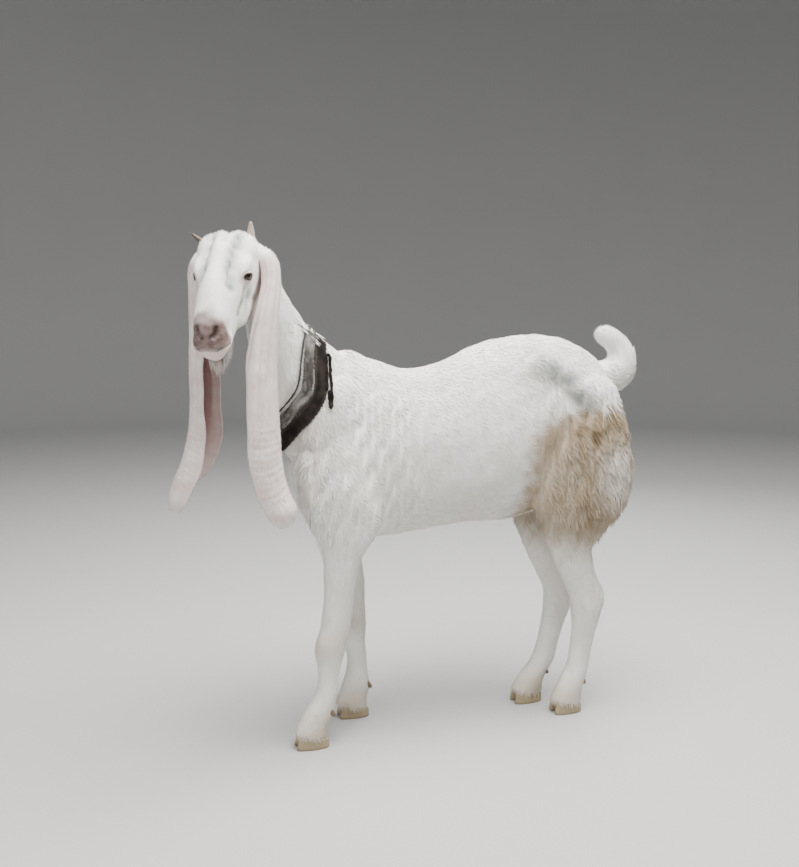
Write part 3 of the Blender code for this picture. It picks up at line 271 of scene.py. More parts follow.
# Angles of the grooves round the roll of each ear, their width and depth, and the height of the wrinkles
EAR_GROOVES = {"left": (-1.85, -1.25, -0.55, 0.6, 1.3), "right": (-1.4, -0.6, 0.4, 0.95, 1.45)}
EAR_GROOVE_WIDTH = 0.13
EAR_GROOVE_DEPTH = 0.105
EAR_WRINKLE = 0.0002
# The small horns: places of their roots and the ways that they point in the head's directions, their lengths
HORN_ROOTS = {"left": (-0.088, 0.033, 0.04), "right": (-0.084, 0.02, -0.054)}
HORN_WAYS = {"left": (-0.3, 0.94, 0.12), "right": (-0.3, 0.45, -0.84)}
HORN_LENGTHS = {"left": 0.029, "right": 0.035}
HORN_RADII = {"left": 0.008, "right": 0.0062}
HORN_TAPER = 0.7
HORN_SINK = 0.3
HORN_BOW = (-0.12, 0.0, 0.0)
# The way into the nostrils and the line of the mouth, in the head's directions
NOSTRIL_OUT = (0.75, 0.25, 0.6)
MOUTH_LINE = (
    (0.17, -0.031, 0.0),
    (0.164, -0.032, 0.011),
    (0.152, -0.034, 0.024),
    (0.138, -0.036, 0.034),
    (0.122, -0.037, 0.04),
)
# The collar's three loops: the highest and the lowest place of each loop's plane, its width, its thickness,
# how far it hangs free below and how far its sides sweep back
BELT_START = 0.25
BELT_AXIS = Vector((-0.35, 0.0, 0.77))
STRAP = (Vector((-0.288, 0.0, 0.87)), Vector((-0.385, 0.0, 0.63)), 0.026, 0.0035, 0.006, -0.03)
BAND = (Vector((-0.3064, 0.0, 0.8917)), Vector((-0.3996, 0.0, 0.6613)), 0.022, 0.0045, 0.006, -0.027)
CORD = (Vector((-0.3143, 0.0, 0.9104)), Vector((-0.4067, 0.0, 0.6816)), 0.004, 0.004, 0.006, -0.023)
KNOT_ANGLE = math.radians(283)
KNOT_LENGTH = 0.04
KNOT_RADII = (0.0036, 0.0066, 0.0062, 0.004, 0.0052, 0.0024)
KNOT_OFF_SKIN = 0.01
# The cuts between head, neck and trunk, each by two points of its line, in the head's directions and in x
# and z, and the upper edge of the thigh by three points of its plane
HEAD_CUT = ((-0.14, -0.025), (0.028, -0.127))
NECK_CUT = ((-0.246, 0.91), (-0.366, 0.56))
THIGH_CUT = ((0.145, -0.06, 0.462), (0.405, -0.03, 0.7), (0.27, -0.12, 0.72))


def head_axes():
    """The head's own directions: along the nose, out of the forehead, and to its left."""
    level = Vector((-math.cos(HEAD_TURN), -math.sin(HEAD_TURN), 0.0))
    along = level * math.cos(HEAD_DROP) - Vector((0, 0, math.sin(HEAD_DROP)))
    above = level * math.sin(HEAD_DROP) + Vector((0, 0, math.cos(HEAD_DROP)))
    return along, above, above.cross(along)


ALONG, ABOVE, LEFTWARD = head_axes()
HEAD_FRAME = np.array([ALONG, ABOVE, LEFTWARD])


def head_vector(place):
    return ALONG * place[0] + ABOVE * place[1] + LEFTWARD * place[2]


def head_point(place):
    return EYE_LINE + head_vector(place)


def head_places(places):
    """Places in the goat's frame, given in the head's own directions."""
    return (places - np.array(EYE_LINE)) @ HEAD_FRAME.T


EYE_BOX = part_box("eye_left")
SHIFT = (Vector(EYE_BOX[0]) + Vector(EYE_BOX[1])) / 2 - head_point(EYE_PLACE)


# Curves, forms and strokes

def smooth_rows(rows, step, axes=3):
    """Rows of numbers read from a smooth curve through the given rows, about one step apart."""
    table = np.array(rows, float)
    reach = np.linalg.norm(np.diff(table[:, :axes], axis=0), axis=1)
    at = np.concatenate(([0.0], np.cumsum(reach)))
    slope = np.gradient(table, at, axis=0)
    count = max(2, int(round(at[-1] / step)) + 1)
    place = np.linspace(0.0, at[-1], count)
    i = np.clip(np.searchsorted(at, place, side="right") - 1, 0, len(at) - 2)
    span = (at[i + 1] - at[i])[:, None]
    t = (place - at[i])[:, None] / span
    return ((2 * t ** 3 - 3 * t ** 2 + 1) * table[i] + (t ** 3 - 2 * t ** 2 + t) * span * slope[i]
            + (3 * t ** 2 - 2 * t ** 3) * table[i + 1] + (t ** 3 - t ** 2) * span * slope[i + 1])


def fade(values, start, end):
    """0 at start and before it, 1 at end and past it, smooth between; start may be the larger one."""
    t = np.clip((values - start) / (end - start), 0.0, 1.0)
    return t * t * (3 - 2 * t)


def unit(vectors):
    return vectors / np.maximum(np.linalg.norm(vectors, axis=-1, keepdims=True), 1e-12)


def turns(count):
    return 2 * math.pi * np.arange(count) / count


def ways_along(path):
    """The direction of a path at each of its points."""
    return unit(np.gradient(path[:, :3], axis=0))


def laid_along(ways, normals, share=1.0):
    """Ways laid along the surface that has these normals; with a share below 1 they stand off a little."""
    return unit(ways - normals * (ways * normals).sum(axis=1, keepdims=True) * share)


def new_object(name, verts, faces):
    """A mesh object made from points in the goat's frame."""
    mesh = bpy.data.meshes.new(name)
    mesh.from_pydata((np.asarray(verts) + np.array(SHIFT)).tolist(), [], faces)
    mesh.update()
    return placed(name, mesh)


def placed(name, content):
    """An object of some mesh, light or camera, in the scene."""
    made = bpy.data.objects.new(name, content)
    bpy.context.scene.collection.objects.link(made)
    return made


def rows_from(items, key, kind=float):
    """A value of three numbers of each item of a mesh, as rows."""
    flat = np.empty(len(items) * 3, dtype=kind)
    items.foreach_get(key, flat)
    return flat.reshape(-1, 3)


def points_of(mesh):
    """A mesh's points in the goat's frame."""
    return rows_from(mesh.vertices, "co") - np.array(SHIFT)


def set_points(mesh, places):
    mesh.vertices.foreach_set("co", (places + np.array(SHIFT)).ravel())
    mesh.update()


def normals_of(mesh):
    return rows_from(mesh.vertex_normals, "vector")


def set_mark(mesh, name, values):
    """Keeps one number for each point of a mesh."""
    mark = mesh.attributes.get(name) or mesh.attributes.new(name, "FLOAT", "POINT")
    mark.data.foreach_set("value", np.ascontiguousarray(values, dtype=np.float32))


def get_mark(mesh, name):
    values = np.empty(len(mesh.vertices), dtype=np.float32)
    mesh.attributes[name].data.foreach_get("value", values)
    return values.astype(float)


def loft(rings, closed=False):
    """Points and faces of a closed body through rings with the same count of points."""
    rings = np.asarray(rings)
    levels, count = rings.shape[:2]
    faces = []
    for k in range(levels if closed else levels - 1):
        low, high = k * count, (k + 1) % levels * count
        faces += [(low + i, low + (i + 1) % count, high + (i + 1) % count, high + i) for i in range(count)]
    if not closed:
        faces.append(tuple(range(count))[::-1])
        faces.append(tuple(range((levels - 1) * count, levels * count)))
    return rings.reshape(-1, 3), faces


def outward(thing):
    """Turns a closed mesh's faces outward."""
    built = bmesh.new()
    built.from_mesh(thing.data)
    bmesh.ops.recalc_face_normals(built, faces=built.faces)
    built.to_mesh(thing.data)
    built.free()
    return thing


def solid(name, shape, **marks):
    """A closed piece of points and faces, which keeps the given marks."""
    made = outward(new_object(name, *shape))
    for key, values in marks.items():
        set_mark(made.data, key, np.ravel(values))
    return made


def merged(shapes):
    """Many shapes of points and faces as one."""
    verts, faces, base = [], [], 0
    for points, loops in shapes:
        verts.append(np.asarray(points))
        faces += [tuple(base + i for i in loop) for loop in loops]
        base += len(points)
    return np.concatenate(verts), faces


def ball(centre, radii, axes=None):
    """Points and faces of a round mass."""
    first, second = np.cos(turns(BALL_POINTS)), np.sin(turns(BALL_POINTS))
    points, faces = loft([
        np.stack([np.sin(a) * first, np.sin(a) * second, np.full(BALL_POINTS, np.cos(a))], axis=1)
        for a in np.linspace(BALL_POLE, math.pi - BALL_POLE, BALL_POINTS // 2)
    ])
    turn = np.eye(3) if axes is None else np.array(axes)
    return np.array(centre) + (points * np.array(radii)) @ turn, faces


def baked(thing):
    """Applies a thing's modifiers to its mesh."""
    graph = bpy.context.evaluated_depsgraph_get()
    mesh = bpy.data.meshes.new_from_object(thing.evaluated_get(graph))
    thing.modifiers.clear()
    thing.data = mesh
    return thing


def tree_of(mesh):
    built = bmesh.new()
    built.from_mesh(mesh)
    tree = BVHTree.FromBMesh(built)
    built.free()
    return tree


def along_path(places, path):
    """For each place the nearest row of a path, its distance, and how far along the path it lies."""
    points = path[:, :3]
    nearest = np.empty(len(places), dtype=int)
    for start in range(0, len(places), 40000):
        part = places[start:start + 40000]
        square = (points ** 2).sum(axis=1)[None, :] - 2 * part @ points.T
        nearest[start:start + 40000] = square.argmin(axis=1)
    distance = np.linalg.norm(places - points[nearest], axis=1)
    return nearest, distance, nearest / (len(points) - 1)


def stroke(places, line, radius, amount):
    """How far each place is pushed out by a soft stroke along a line of points."""
    line = np.asarray(line, float)
    reach = radius * 3
    near = np.all((places > line.min(axis=0) - reach) & (places < line.max(axis=0) + reach), axis=1)
    out = np.zeros(len(places))
    if not near.any():
        return out
    part = places[near]
    best = np.full(len(part), np.inf)
    for a, b in zip(line[:-1], line[1:]) if len(line) > 1 else [(line[0], line[0] + 1e-9)]:
        way = b - a
        t = np.clip(((part - a) @ way) / max(way @ way, 1e-12), 0.0, 1.0)
        best = np.minimum(best, np.linalg.norm(part - a - t[:, None] * way, axis=1))
    out[near] = amount * np.exp(-(best / radius) ** 2)
    return out


def wander(places, scale, seed):
    """Smooth wandering values from -1 to 1."""
    draw = np.random.default_rng(seed)
    total = np.zeros(len(places))
    for _ in range(5):
        way = unit(draw.normal(size=3)) / scale * draw.uniform(0.7, 1.5)
        total += np.sin(places @ way * 2 * math.pi + draw.uniform(0, 2 * math.pi))
    return total / 2.6


# The animal's forms, in the goat's frame

def slices(rows, step, count, below):
    """Rings through rows of place, top, underside, widest level, half width and roundness above."""
    side, up = np.cos(turns(count)), np.sin(turns(count))
    rings = []
    for place, top, under, middle, half, above in smooth_rows(rows, step, 1):
        power = np.where(up > 0, above, below)
        reach = np.where(up > 0, top - middle, middle - under)
        across = half * np.sign(side) * np.abs(side) ** (2 / power)
        level = middle + reach * np.sign(up) * np.abs(up) ** (2 / power)
        rings.append(np.stack([np.full(count, place), across, level], axis=1))
    return rings


def oval_loft(path, high, wide, count):
    """A body through ovals round a path, each by its two half axes."""
    a = turns(count)[None, :, None]
    return loft(path[:, None, :] + high[:, None, :] * np.cos(a) + wide[:, None, :] * np.sin(a))


def trunk_form():
    return loft(slices(TRUNK, TRUNK_STEP, TRUNK_POINTS, BELLY_ROUNDNESS))


def neck_form():
    rows = smooth_rows(NECK, TRUNK_STEP)
    path = (rows[:, 0:3] + rows[:, 3:6]) / 2
    reach = (rows[:, 0:3] - rows[:, 3:6]) / 2
    across = unit(np.cross(np.gradient(path, axis=0), reach)) * rows[:, 6:7]
    return oval_loft(path, reach, across, HEAD_POINTS)


def head_form():
    rings = slices(HEAD, HEAD_STEP, HEAD_POINTS, JAW_ROUNDNESS)
    return loft([np.array(EYE_LINE) + ring[:, (0, 2, 1)] @ HEAD_FRAME for ring in rings])


def leg_middle(rows, side, shift):
    """Rows down one leg: middle x, y, z, half depth and half width; side is -1 for the left leg."""
    table = smooth_rows(rows, LEG_STEP, 1)
    heights, moves = zip(*shift)
    move = np.interp(table[:, 0], heights, moves) if side > 0 else 0.0
    middle = (table[:, 1] + table[:, 2]) / 2 + move
    return np.stack([middle, side * table[:, 3], table[:, 0], (table[:, 2] - table[:, 1]) / 2, table[:, 4]],
                    axis=1)


def leg_form(rows, side, shift):
    table = leg_middle(rows, side, shift)
    depth, half = table[:, 3:4] * (1.0, 0.0, 0.0), table[:, 4:5] * (0.0, 1.0, 0.0)
    return oval_loft(table[:, :3], depth, half, LIMB_POINTS)


def tail_path():
    rows = smooth_rows(TAIL, TAIL_STEP, 2)
    return np.stack([rows[:, 0], np.zeros(len(rows)), rows[:, 1], rows[:, 2]], axis=1)


def tail_form():
    path = tail_path()
    way, radius = ways_along(path), path[:, 3:4]
    out = np.stack([-way[:, 2], way[:, 1], way[:, 0]], axis=1)
    level = np.array([0.0, 1.0, 0.0])
    return oval_loft(path[:, :3], out * radius, level * radius * TAIL_FLATNESS, LIMB_POINTS)


def body_masses():
    return [ball((x, y * way, z), radii) for (x, y, z), radii in BODY_MASSES for way in (1, -1)]


def ear_rows(side, step=EAR_LINE_STEP):
    """Rows down an ear as in EARS, and for each its direction, the way that it opens and the way across."""
    table = smooth_rows(EARS[side], step)
    way = ways_along(table)
    facing = np.radians(table[:, 5])
    opens = np.stack([np.cos(facing), np.sin(facing), np.zeros(len(table))], axis=1)
    opens = laid_along(opens, way)
    return table, way, opens, np.cross(way, opens)


def round_ear(places, side):
    """Each place's nearest row of an ear and its direction, its distance, how far down and at what angle."""
    table, way, opens, across = ear_rows(side)
    nearest, distance, t = along_path(places, table)
    off = places - table[nearest, :3]
    turned = np.arctan2((off * across[nearest]).sum(axis=1), -(off * opens[nearest]).sum(axis=1))
    return table[nearest], way[nearest], distance, t, turned


def ear_form(side, thickness):
    """A long leaf rolled lengthwise, with grooves down its upper half and wrinkles across its lower one."""
    table, way, opens, across = ear_rows(side, EAR_STEP)
    count = len(table)
    draw = np.random.default_rng(11 if side == "left" else 12)
    phase = draw.uniform(0, 2 * math.pi, 4)
    rings = []
    for k in range(count):
        t = k / (count - 1)
        centre, radius, reach = table[k, :3], table[k, 3], math.radians(table[k, 4])
        reach *= 1 + 0.02 * math.sin(t * 17 + phase[0]) + 0.012 * math.sin(t * 41 + phase[1])
        angle = np.linspace(-reach, reach, EAR_ARC)
        folds = EAR_GROOVE_DEPTH * (1 - fade(t, 0.44, 0.68)) * fade(t, 0.03, 0.12)
        shape = 0.018 * np.sin(angle * 2.6 + 5 * t + phase[2]) * fade(t, 0.03, 0.12)
        for index, groove in enumerate(EAR_GROOVES[side]):
            at = groove + 0.09 * math.sin(t * 11 + 2.3 * index + phase[3])
            deep = folds * (1 + 0.35 * math.sin(t * 23 + 1.7 * index))
            shape = shape - deep * np.exp(-((angle - at) / EAR_GROOVE_WIDTH) ** 2)
        wrinkle = EAR_WRINKLE * fade(t, 0.58, 0.68) * (1 - fade(t, 0.88, 0.95))
        across_wave = wrinkle * (np.sin(t * 250 + 1.9 * np.sin(angle * 2.1 + phase[3]))
                                 + 0.6 * np.sin(t * 171 + 2.6 * angle))
        edge = 1 - fade(np.abs(angle) / reach, 0.8, 1.0)
        curl = 0.05 * radius * fade(t, 0.5, 0.8) * (1 - edge)
        outer = radius * (1 + shape) + across_wave * edge + curl
        inner = outer - thickness * (0.45 + 0.55 * edge) * (1 - 0.35 * fade(t, 0.9, 1.0))
        radii = np.concatenate([outer, inner[::-1]])[:, None]
        a = np.concatenate([angle, angle[::-1]])[:, None]
        rings.append(centre - opens[k] * (radii * np.cos(a)) + across[k] * (radii * np.sin(a)))
    return loft(rings)


# Soft strokes on the head, in its own directions: points of the line, radius, and how far they push out.
# The first list is made once in the middle, the second on both sides.
MIDDLE_STROKES = (
    (((-0.1, 0.03, 0.0), (-0.078, 0.058, 0.0), (-0.048, 0.066, 0.0)), 0.0095, -0.0085),
    (((-0.03, 0.062, 0.0), (0.02, 0.06, 0.0), (0.08, 0.045, 0.0)), 0.014, 0.0016),
    (((0.166, -0.014, 0.0), (0.168, -0.022, 0.0), (0.168, -0.03, 0.0)), 0.0022, -0.002),
    (((0.142, -0.078, 0.0),), 0.012, 0.002),
)
FACE_HOLLOW = ((-0.06, 0.052, 0.026), (-0.02, 0.05, 0.029), (0.018, 0.042, 0.03), (0.05, 0.028, 0.03))
FURROWS = (((0.026, 0.002, 0.046), (0.046, -0.012, 0.042), (0.074, -0.024, 0.038)),
           ((0.02, -0.01, 0.047), (0.04, -0.026, 0.044), (0.06, -0.036, 0.04)))
SIDE_STROKES = (
    (FACE_HOLLOW, 0.014, -0.0085),
    (FACE_HOLLOW, 0.005, -0.0045),
    (((-0.022, 0.028, 0.048), (0.0, 0.029, 0.046), (0.022, 0.022, 0.042)), 0.006, 0.0026),
    (((-0.07, 0.05, 0.03),), 0.02, 0.0035),
    (FURROWS[0], 0.0038, -0.0036),
    (FURROWS[1], 0.0036, -0.003),
    (((0.01, -0.022, 0.052), (0.04, -0.036, 0.047), (0.074, -0.046, 0.04)), 0.0085, 0.0024),
    (((-0.045, -0.04, 0.056), (-0.02, -0.055, 0.052)), 0.022, 0.003),
    (((-0.016, -0.082, 0.034), (0.04, -0.084, 0.026), (0.09, -0.08, 0.02)), 0.009, 0.0016),
    (((0.112, 0.012, 0.024), (0.14, -0.004, 0.024)), 0.009, 0.0016),
    (((0.128, -0.03, 0.036), (0.146, -0.04, 0.03)), 0.01, 0.0022),
    (((0.108, -0.062, 0.038), (0.116, -0.07, 0.03)), 0.005, -0.0014),
)
# The nostril is a comma: its lower end is round, its upper end thin and turned outward
NOSTRIL_LINE = (
    (0.1535, -0.0065, 0.016),
    (0.151, -0.003, 0.0215),
    (0.146, 0.0025, 0.0235),
    (0.14, 0.005, 0.024),
)
NOSTRIL_RADII = (0.004, 0.0042, 0.0032)
LID_HALF_LENGTH = 0.0135
LID_HALF_HEIGHT = 0.0066
LID_THICKNESS = 0.0019
SOCKET_DEPTH = 0.004


def side_line(points, side):
    return np.array([head_point((u, v, w * side)) for u, v, w in points])


def eye_frame(side):
    """The eye's middle, the way it looks, the way along its opening and the way up; side 1 is the left."""
    place, gaze = Vector(EYE_PLACE), Vector(EYE_GAZE).normalized()
    centre = head_point((place.x, place.y, place.z * side))
    out = mirrored(gaze, side)
    length = head_vector(EYE_SLANT)
    length = (length - out * length.dot(out)).normalized()
    height = out.cross(length) * side
    return np.array(centre), np.array(out), np.array(length), np.array(height)


# Round regions with a finer mesh: place in the head's directions and radius of the head and the nose, and
# the radius round each eye
FINE_HEAD = ((0.03, -0.02, 0.0), 0.135)
FINE_NOSE = ((0.15, -0.03, 0.0), 0.045)
FINE_EYE = 0.022


def finer(thing, centre, radius):
    """Divides the faces within a round region."""
    built = bmesh.new()
    built.from_mesh(thing.data)
    middle = Vector(centre) + SHIFT
    near = {e for f in built.faces if (f.calc_center_median() - middle).length < radius for e in f.edges}
    bmesh.ops.subdivide_edges(built, edges=list(near), cuts=1, use_grid_fill=True, smooth=0.6)
    built.to_mesh(thing.data)
    built.free()


def laid(tree, line):
    """A line's points moved to the nearest places on a mesh."""
    return np.array([tree.find_nearest(Vector(p) + SHIFT)[0] - SHIFT for p in line])


def mirrored(way, side):
    """One of the head's own directions, for the left side at 1 or the right side at -1."""
    return head_vector((way[0], way[1], way[2] * side)).normalized()


def shape_head(thing):
    """Pushes the head's skin into its folds, lips, nostrils and lids."""
    mesh = thing.data
    places, normals = points_of(mesh), normals_of(mesh)
    push = np.zeros(len(places))
    for line, radius, amount in MIDDLE_STROKES:
        push += stroke(places, side_line(line, 1), radius, amount)
    for side in (1, -1):
        for line, radius, amount in SIDE_STROKES:
            push += stroke(places, side_line(line, side), radius, amount)
        push += stroke(places, side_line((HORN_ROOTS["left" if side > 0 else "right"],), 1), 0.013, 0.003)
        push += stroke(places, side_line(NOSTRIL_LINE, side), 0.0075, 0.003)
    mouth = [(u, v, -w) for u, v, w in MOUTH_LINE[:0:-1]] + list(MOUTH_LINE)
    tree = tree_of(mesh)
    mouth = laid(tree, np.array(EYE_LINE) + smooth_rows(mouth, 0.004) @ HEAD_FRAME)
    for offset, radius, amount in ((0.0046, 0.005, 0.0022), (-0.005, 0.005, 0.0026)):
        push += stroke(places, mouth + np.array(ABOVE) * offset, radius, amount)
    places = places + normals * push[:, None]
    set_points(mesh, places)
    normals = normals_of(mesh)
    groove = stroke(places, mouth, 0.0026, -0.0068)
    for side in (1, -1):
        line = laid(tree, side_line(NOSTRIL_LINE, side))
        out = np.array(mirrored(NOSTRIL_OUT, side))
        hole = np.zeros(len(places))
        for a, b, radius in zip(line, line[1:], NOSTRIL_RADII):
            hole = np.maximum(hole, stroke(places, (a, b), radius, 1.0))
        places = places - out * (hole * 0.0115)[:, None]
    places = places + normals * groove[:, None]
    set_points(mesh, places)
    for side in (1, -1):
        places = set_lids(places, side)
    set_points(mesh, places)


def set_lids(places, side):
    """Lays the skin round the eyeball as lids, with an almond opening and a socket behind it."""
    centre, out, length, height = eye_frame(side)
    local = (places - centre) @ np.array([length, height, out]).T
    a, b, c = local.T
    span = np.clip(np.abs(a) / LID_HALF_LENGTH, 0, 1)
    half = LID_HALF_HEIGHT * (1 - span ** 2.4) + 1e-5
    half = np.where(b < 0, half * 0.86, half)
    inside = np.where(np.abs(a) < LID_HALF_LENGTH, np.abs(b) / half, 9.0)
    ends = np.hypot(np.maximum(np.abs(a) - LID_HALF_LENGTH, 0), np.maximum(np.abs(b) - half, 0))
    flat = np.hypot(a, b)
    facing = (c > -0.002) & (flat < 0.034)
    ball_height = np.sqrt(np.maximum(EYE_RADIUS ** 2 - flat ** 2, 0.0))
    lid = np.where(flat < EYE_RADIUS + LID_THICKNESS,
                   np.sqrt(np.maximum((EYE_RADIUS + LID_THICKNESS) ** 2 - flat ** 2, 0.0)), 0.0)
    rim = LID_THICKNESS * 0.55 * np.exp(-(ends / 0.0016) ** 2)
    fold = -0.0012 * np.exp(-((ends - 0.0058) / 0.0014) ** 2) * (b > 0)
    fold = fold - 0.0007 * np.exp(-((ends - 0.0046) / 0.0012) ** 2) * (b < 0)
    blend = 1 - fade(ends, 0.003, 0.012)
    target = np.maximum(c, lid) * blend + c * (1 - blend) + rim + fold
    target = np.where(inside < 1.0, ball_height - SOCKET_DEPTH, target)
    local[:, 2] = np.where(facing, target, c)
    return np.where(facing[:, None], centre + local @ np.array([length, height, out]), places)


# Soft strokes on the body: points in the goat's frame for the left side, radius, and push
BODY_STROKES = (
    (((0.188, -0.098, 0.8), (0.2, -0.096, 0.79)), 0.02, 0.005),
    (((0.225, -0.096, 0.775), (0.262, -0.094, 0.735), (0.285, -0.09, 0.7)), 0.024, -0.007),
    (((0.13, -0.11, 0.79), (0.15, -0.108, 0.74)), 0.034, -0.005),
    (((-0.17, -0.1, 0.5), (-0.165, -0.106, 0.56), (-0.175, -0.1, 0.64)), 0.014, -0.0042),
    (((-0.262, -0.092, 0.79), (-0.285, -0.092, 0.72), (-0.318, -0.084, 0.64)), 0.018, 0.002),
    (((0.2, -0.095, 0.8), (0.245, -0.096, 0.755), (0.295, -0.092, 0.7)), 0.02, -0.006),
    (((-0.215, -0.098, 0.79), (-0.228, -0.1, 0.72), (-0.245, -0.1, 0.65)), 0.014, -0.0034),
    (((-0.25, -0.108, 0.56), (-0.215, -0.106, 0.52)), 0.026, 0.004),
    (((0.15, -0.09, 0.48), (0.172, -0.098, 0.54)), 0.016, 0.005),
    (((0.196, -0.106, 0.56), (0.19, -0.104, 0.48)), 0.018, 0.003),
    (((0.372, -0.06, 0.7), (0.352, -0.09, 0.62), (0.33, -0.1, 0.54)), 0.012, -0.0036),
    (((-0.345, -0.05, 0.56), (-0.322, -0.07, 0.64)), 0.012, -0.0026),
    (((-0.302, -0.07, 0.15), (-0.3, -0.07, 0.2)), 0.01, 0.0012),
    (((-0.276, -0.058, 0.12), (-0.276, -0.058, 0.19)), 0.006, -0.0016),
    (((0.322, -0.036, 0.13), (0.33, -0.036, 0.23)), 0.006, -0.0022),
    (((0.352, -0.05, 0.3), (0.35, -0.052, 0.262)), 0.009, 0.003),
    (((0.31, -0.062, 0.3), (0.322, -0.06, 0.345)), 0.01, -0.004),
)
RIB_COUNT = 9
RIB_FIRST = -0.135
RIB_STEP = 0.03
RIB_PUSH = 0.001
# Along a rib from its top: how far behind its middle, how far out and how high
RIB_LINE = ((-0.012, 0.1, 0.74), (0.0, 0.122, 0.66), (0.022, 0.116, 0.56))
# How far ahead of the collar's cut each crease of the neck lies, and how deep it is
NECK_CREASES = ((0.03, 0.0022), (0.046, 0.0018), (0.063, 0.0014), (0.08, 0.001))
RIPPLE_PUSH = 0.0013
LEG_FILL = 0.0006
# How far the feet are drawn in under the rims of the hooves, and the lowest place of the skin
FOOT_PINCH = 0.42
SKIN_FLOOR = 0.01


def shape_body(thing, depth):
    """Gives the body its shoulders, ribs, hips and creases, and sinks it by the coat's depth."""
    mesh = thing.data
    places, normals = points_of(mesh), normals_of(mesh)
    push = np.zeros(len(places))
    for line, radius, amount in BODY_STROKES:
        line = np.array(line)
        push += stroke(places, line, radius, amount)
        push += stroke(places, line * (1, -1, 1) + shift_right(line), radius, amount)
    for i in range(RIB_COUNT):
        x = RIB_FIRST + RIB_STEP * i
        for side in (-1, 1):
            rib = [(x + back, side * out, z) for back, out, z in RIB_LINE]
            push += stroke(places, rib, 0.008, RIB_PUSH)
    ahead = neck_ahead(places)
    front = np.abs(places[:, 1]) < 0.09
    for reach, amount in NECK_CREASES:
        wave = reach + 0.006 * np.sin(places[:, 1] * 60 + reach * 300) + 0.01 * np.sin(places[:, 2] * 22)
        push -= front * amount * np.exp(-((ahead - wave) / 0.0045) ** 2) * fade(places[:, 2], 0.66, 0.74)
    push += (0.0007 * wander(places, 0.045, 3) + 0.001 * wander(places, 0.11, 4)
             + RIPPLE_PUSH * ripple(places))
    legs = fade(places[:, 2], 0.46, 0.36)
    push += legs * (0.6 * depth + LEG_FILL)
    places = places + normals * (push - depth)[:, None]
    for x, y, below in feet_below(places):
        places[:, 0] += (x - places[:, 0]) * below * FOOT_PINCH
        places[:, 1] += (y - places[:, 1]) * below * FOOT_PINCH
    places[:, 2] = np.maximum(places[:, 2], SKIN_FLOOR)
    set_points(mesh, places)


def ripple(places):
    """Shallow locks in the short coat of the trunk and neck, longer down the body than along it; -1 to 1."""
    x, y, z = places.T
    weight = fade(z, 0.42, 0.52) * fade(head_ahead(places), 0.02, -0.02)
    shoulder = fade(x, -0.06, -0.15) * fade(z, 0.78, 0.7)
    hip = 0.6 * fade(x, 0.15, 0.21) * fade(z, 0.8, 0.74)
    weight = weight * (0.12 + 0.88 * np.maximum(shoulder, hip))
    return np.clip(wander(places * (1.0, 1.0, 0.38), 0.02, 41), -1, 1) * weight


def feet_below(places):
    """For each foot its middle, and how far under the top of its hooves each place lies, from 0 to 1."""
    found = []
    for x, y, turn in FEET.values():
        toe = (-math.cos(turn), math.sin(turn) * (1 if y > 0 else -1))
        off = places[:, :2] - (x, y)
        forward = off @ toe
        rise = (CORONET_TOE + CORONET_HEEL) / 2 + (CORONET_TOE - CORONET_HEEL) / HOOF_LENGTH * forward
        near = np.hypot(*off.T) < HOOF_LENGTH
        found.append((x, y, near * fade(places[:, 2] - rise, 0.002, -0.004)))
    return found


def shift_right(line):
    """How far a stroke on the left leg moves for the right one, which stands elsewhere."""
    rows = RIGHT_FORE_SHIFT if line[:, 0].mean() < 0 else RIGHT_HIND_SHIFT
    heights, moves = zip(*rows)
    move = np.interp(line[:, 2], heights, moves)
    return np.stack([move, np.zeros(len(line)), np.zeros(len(line))], axis=1)


def line_ahead(a, b, first, second):
    """How far a place lies ahead of the line through two points of a plane."""
    (x0, y0), (x1, y1) = a, b
    normal = np.array([y1 - y0, x0 - x1])
    normal = normal / np.linalg.norm(normal)
    return (first - x0) * normal[0] + (second - y0) * normal[1]


def neck_ahead(places):
    """Metres that a place lies before the collar's cut, towards the head."""
    return line_ahead(NECK_CUT[0], NECK_CUT[1], places[:, 0], places[:, 2])


def head_ahead(places):
    local = head_places(places)
    return -line_ahead(HEAD_CUT[0], HEAD_CUT[1], local[:, 0], local[:, 1])


def thigh_below(places):
    """Metres that a place lies under the slanted line from the flank to the rump."""
    front, back, hip = (Vector(p) for p in THIGH_CUT)
    normal = (back - front).cross(hip - front)
    x, y, z = places.T
    level = front.z - (normal.x * (x - front.x) + normal.y * (-np.abs(y) - front.y)) / normal.z
    return level - z


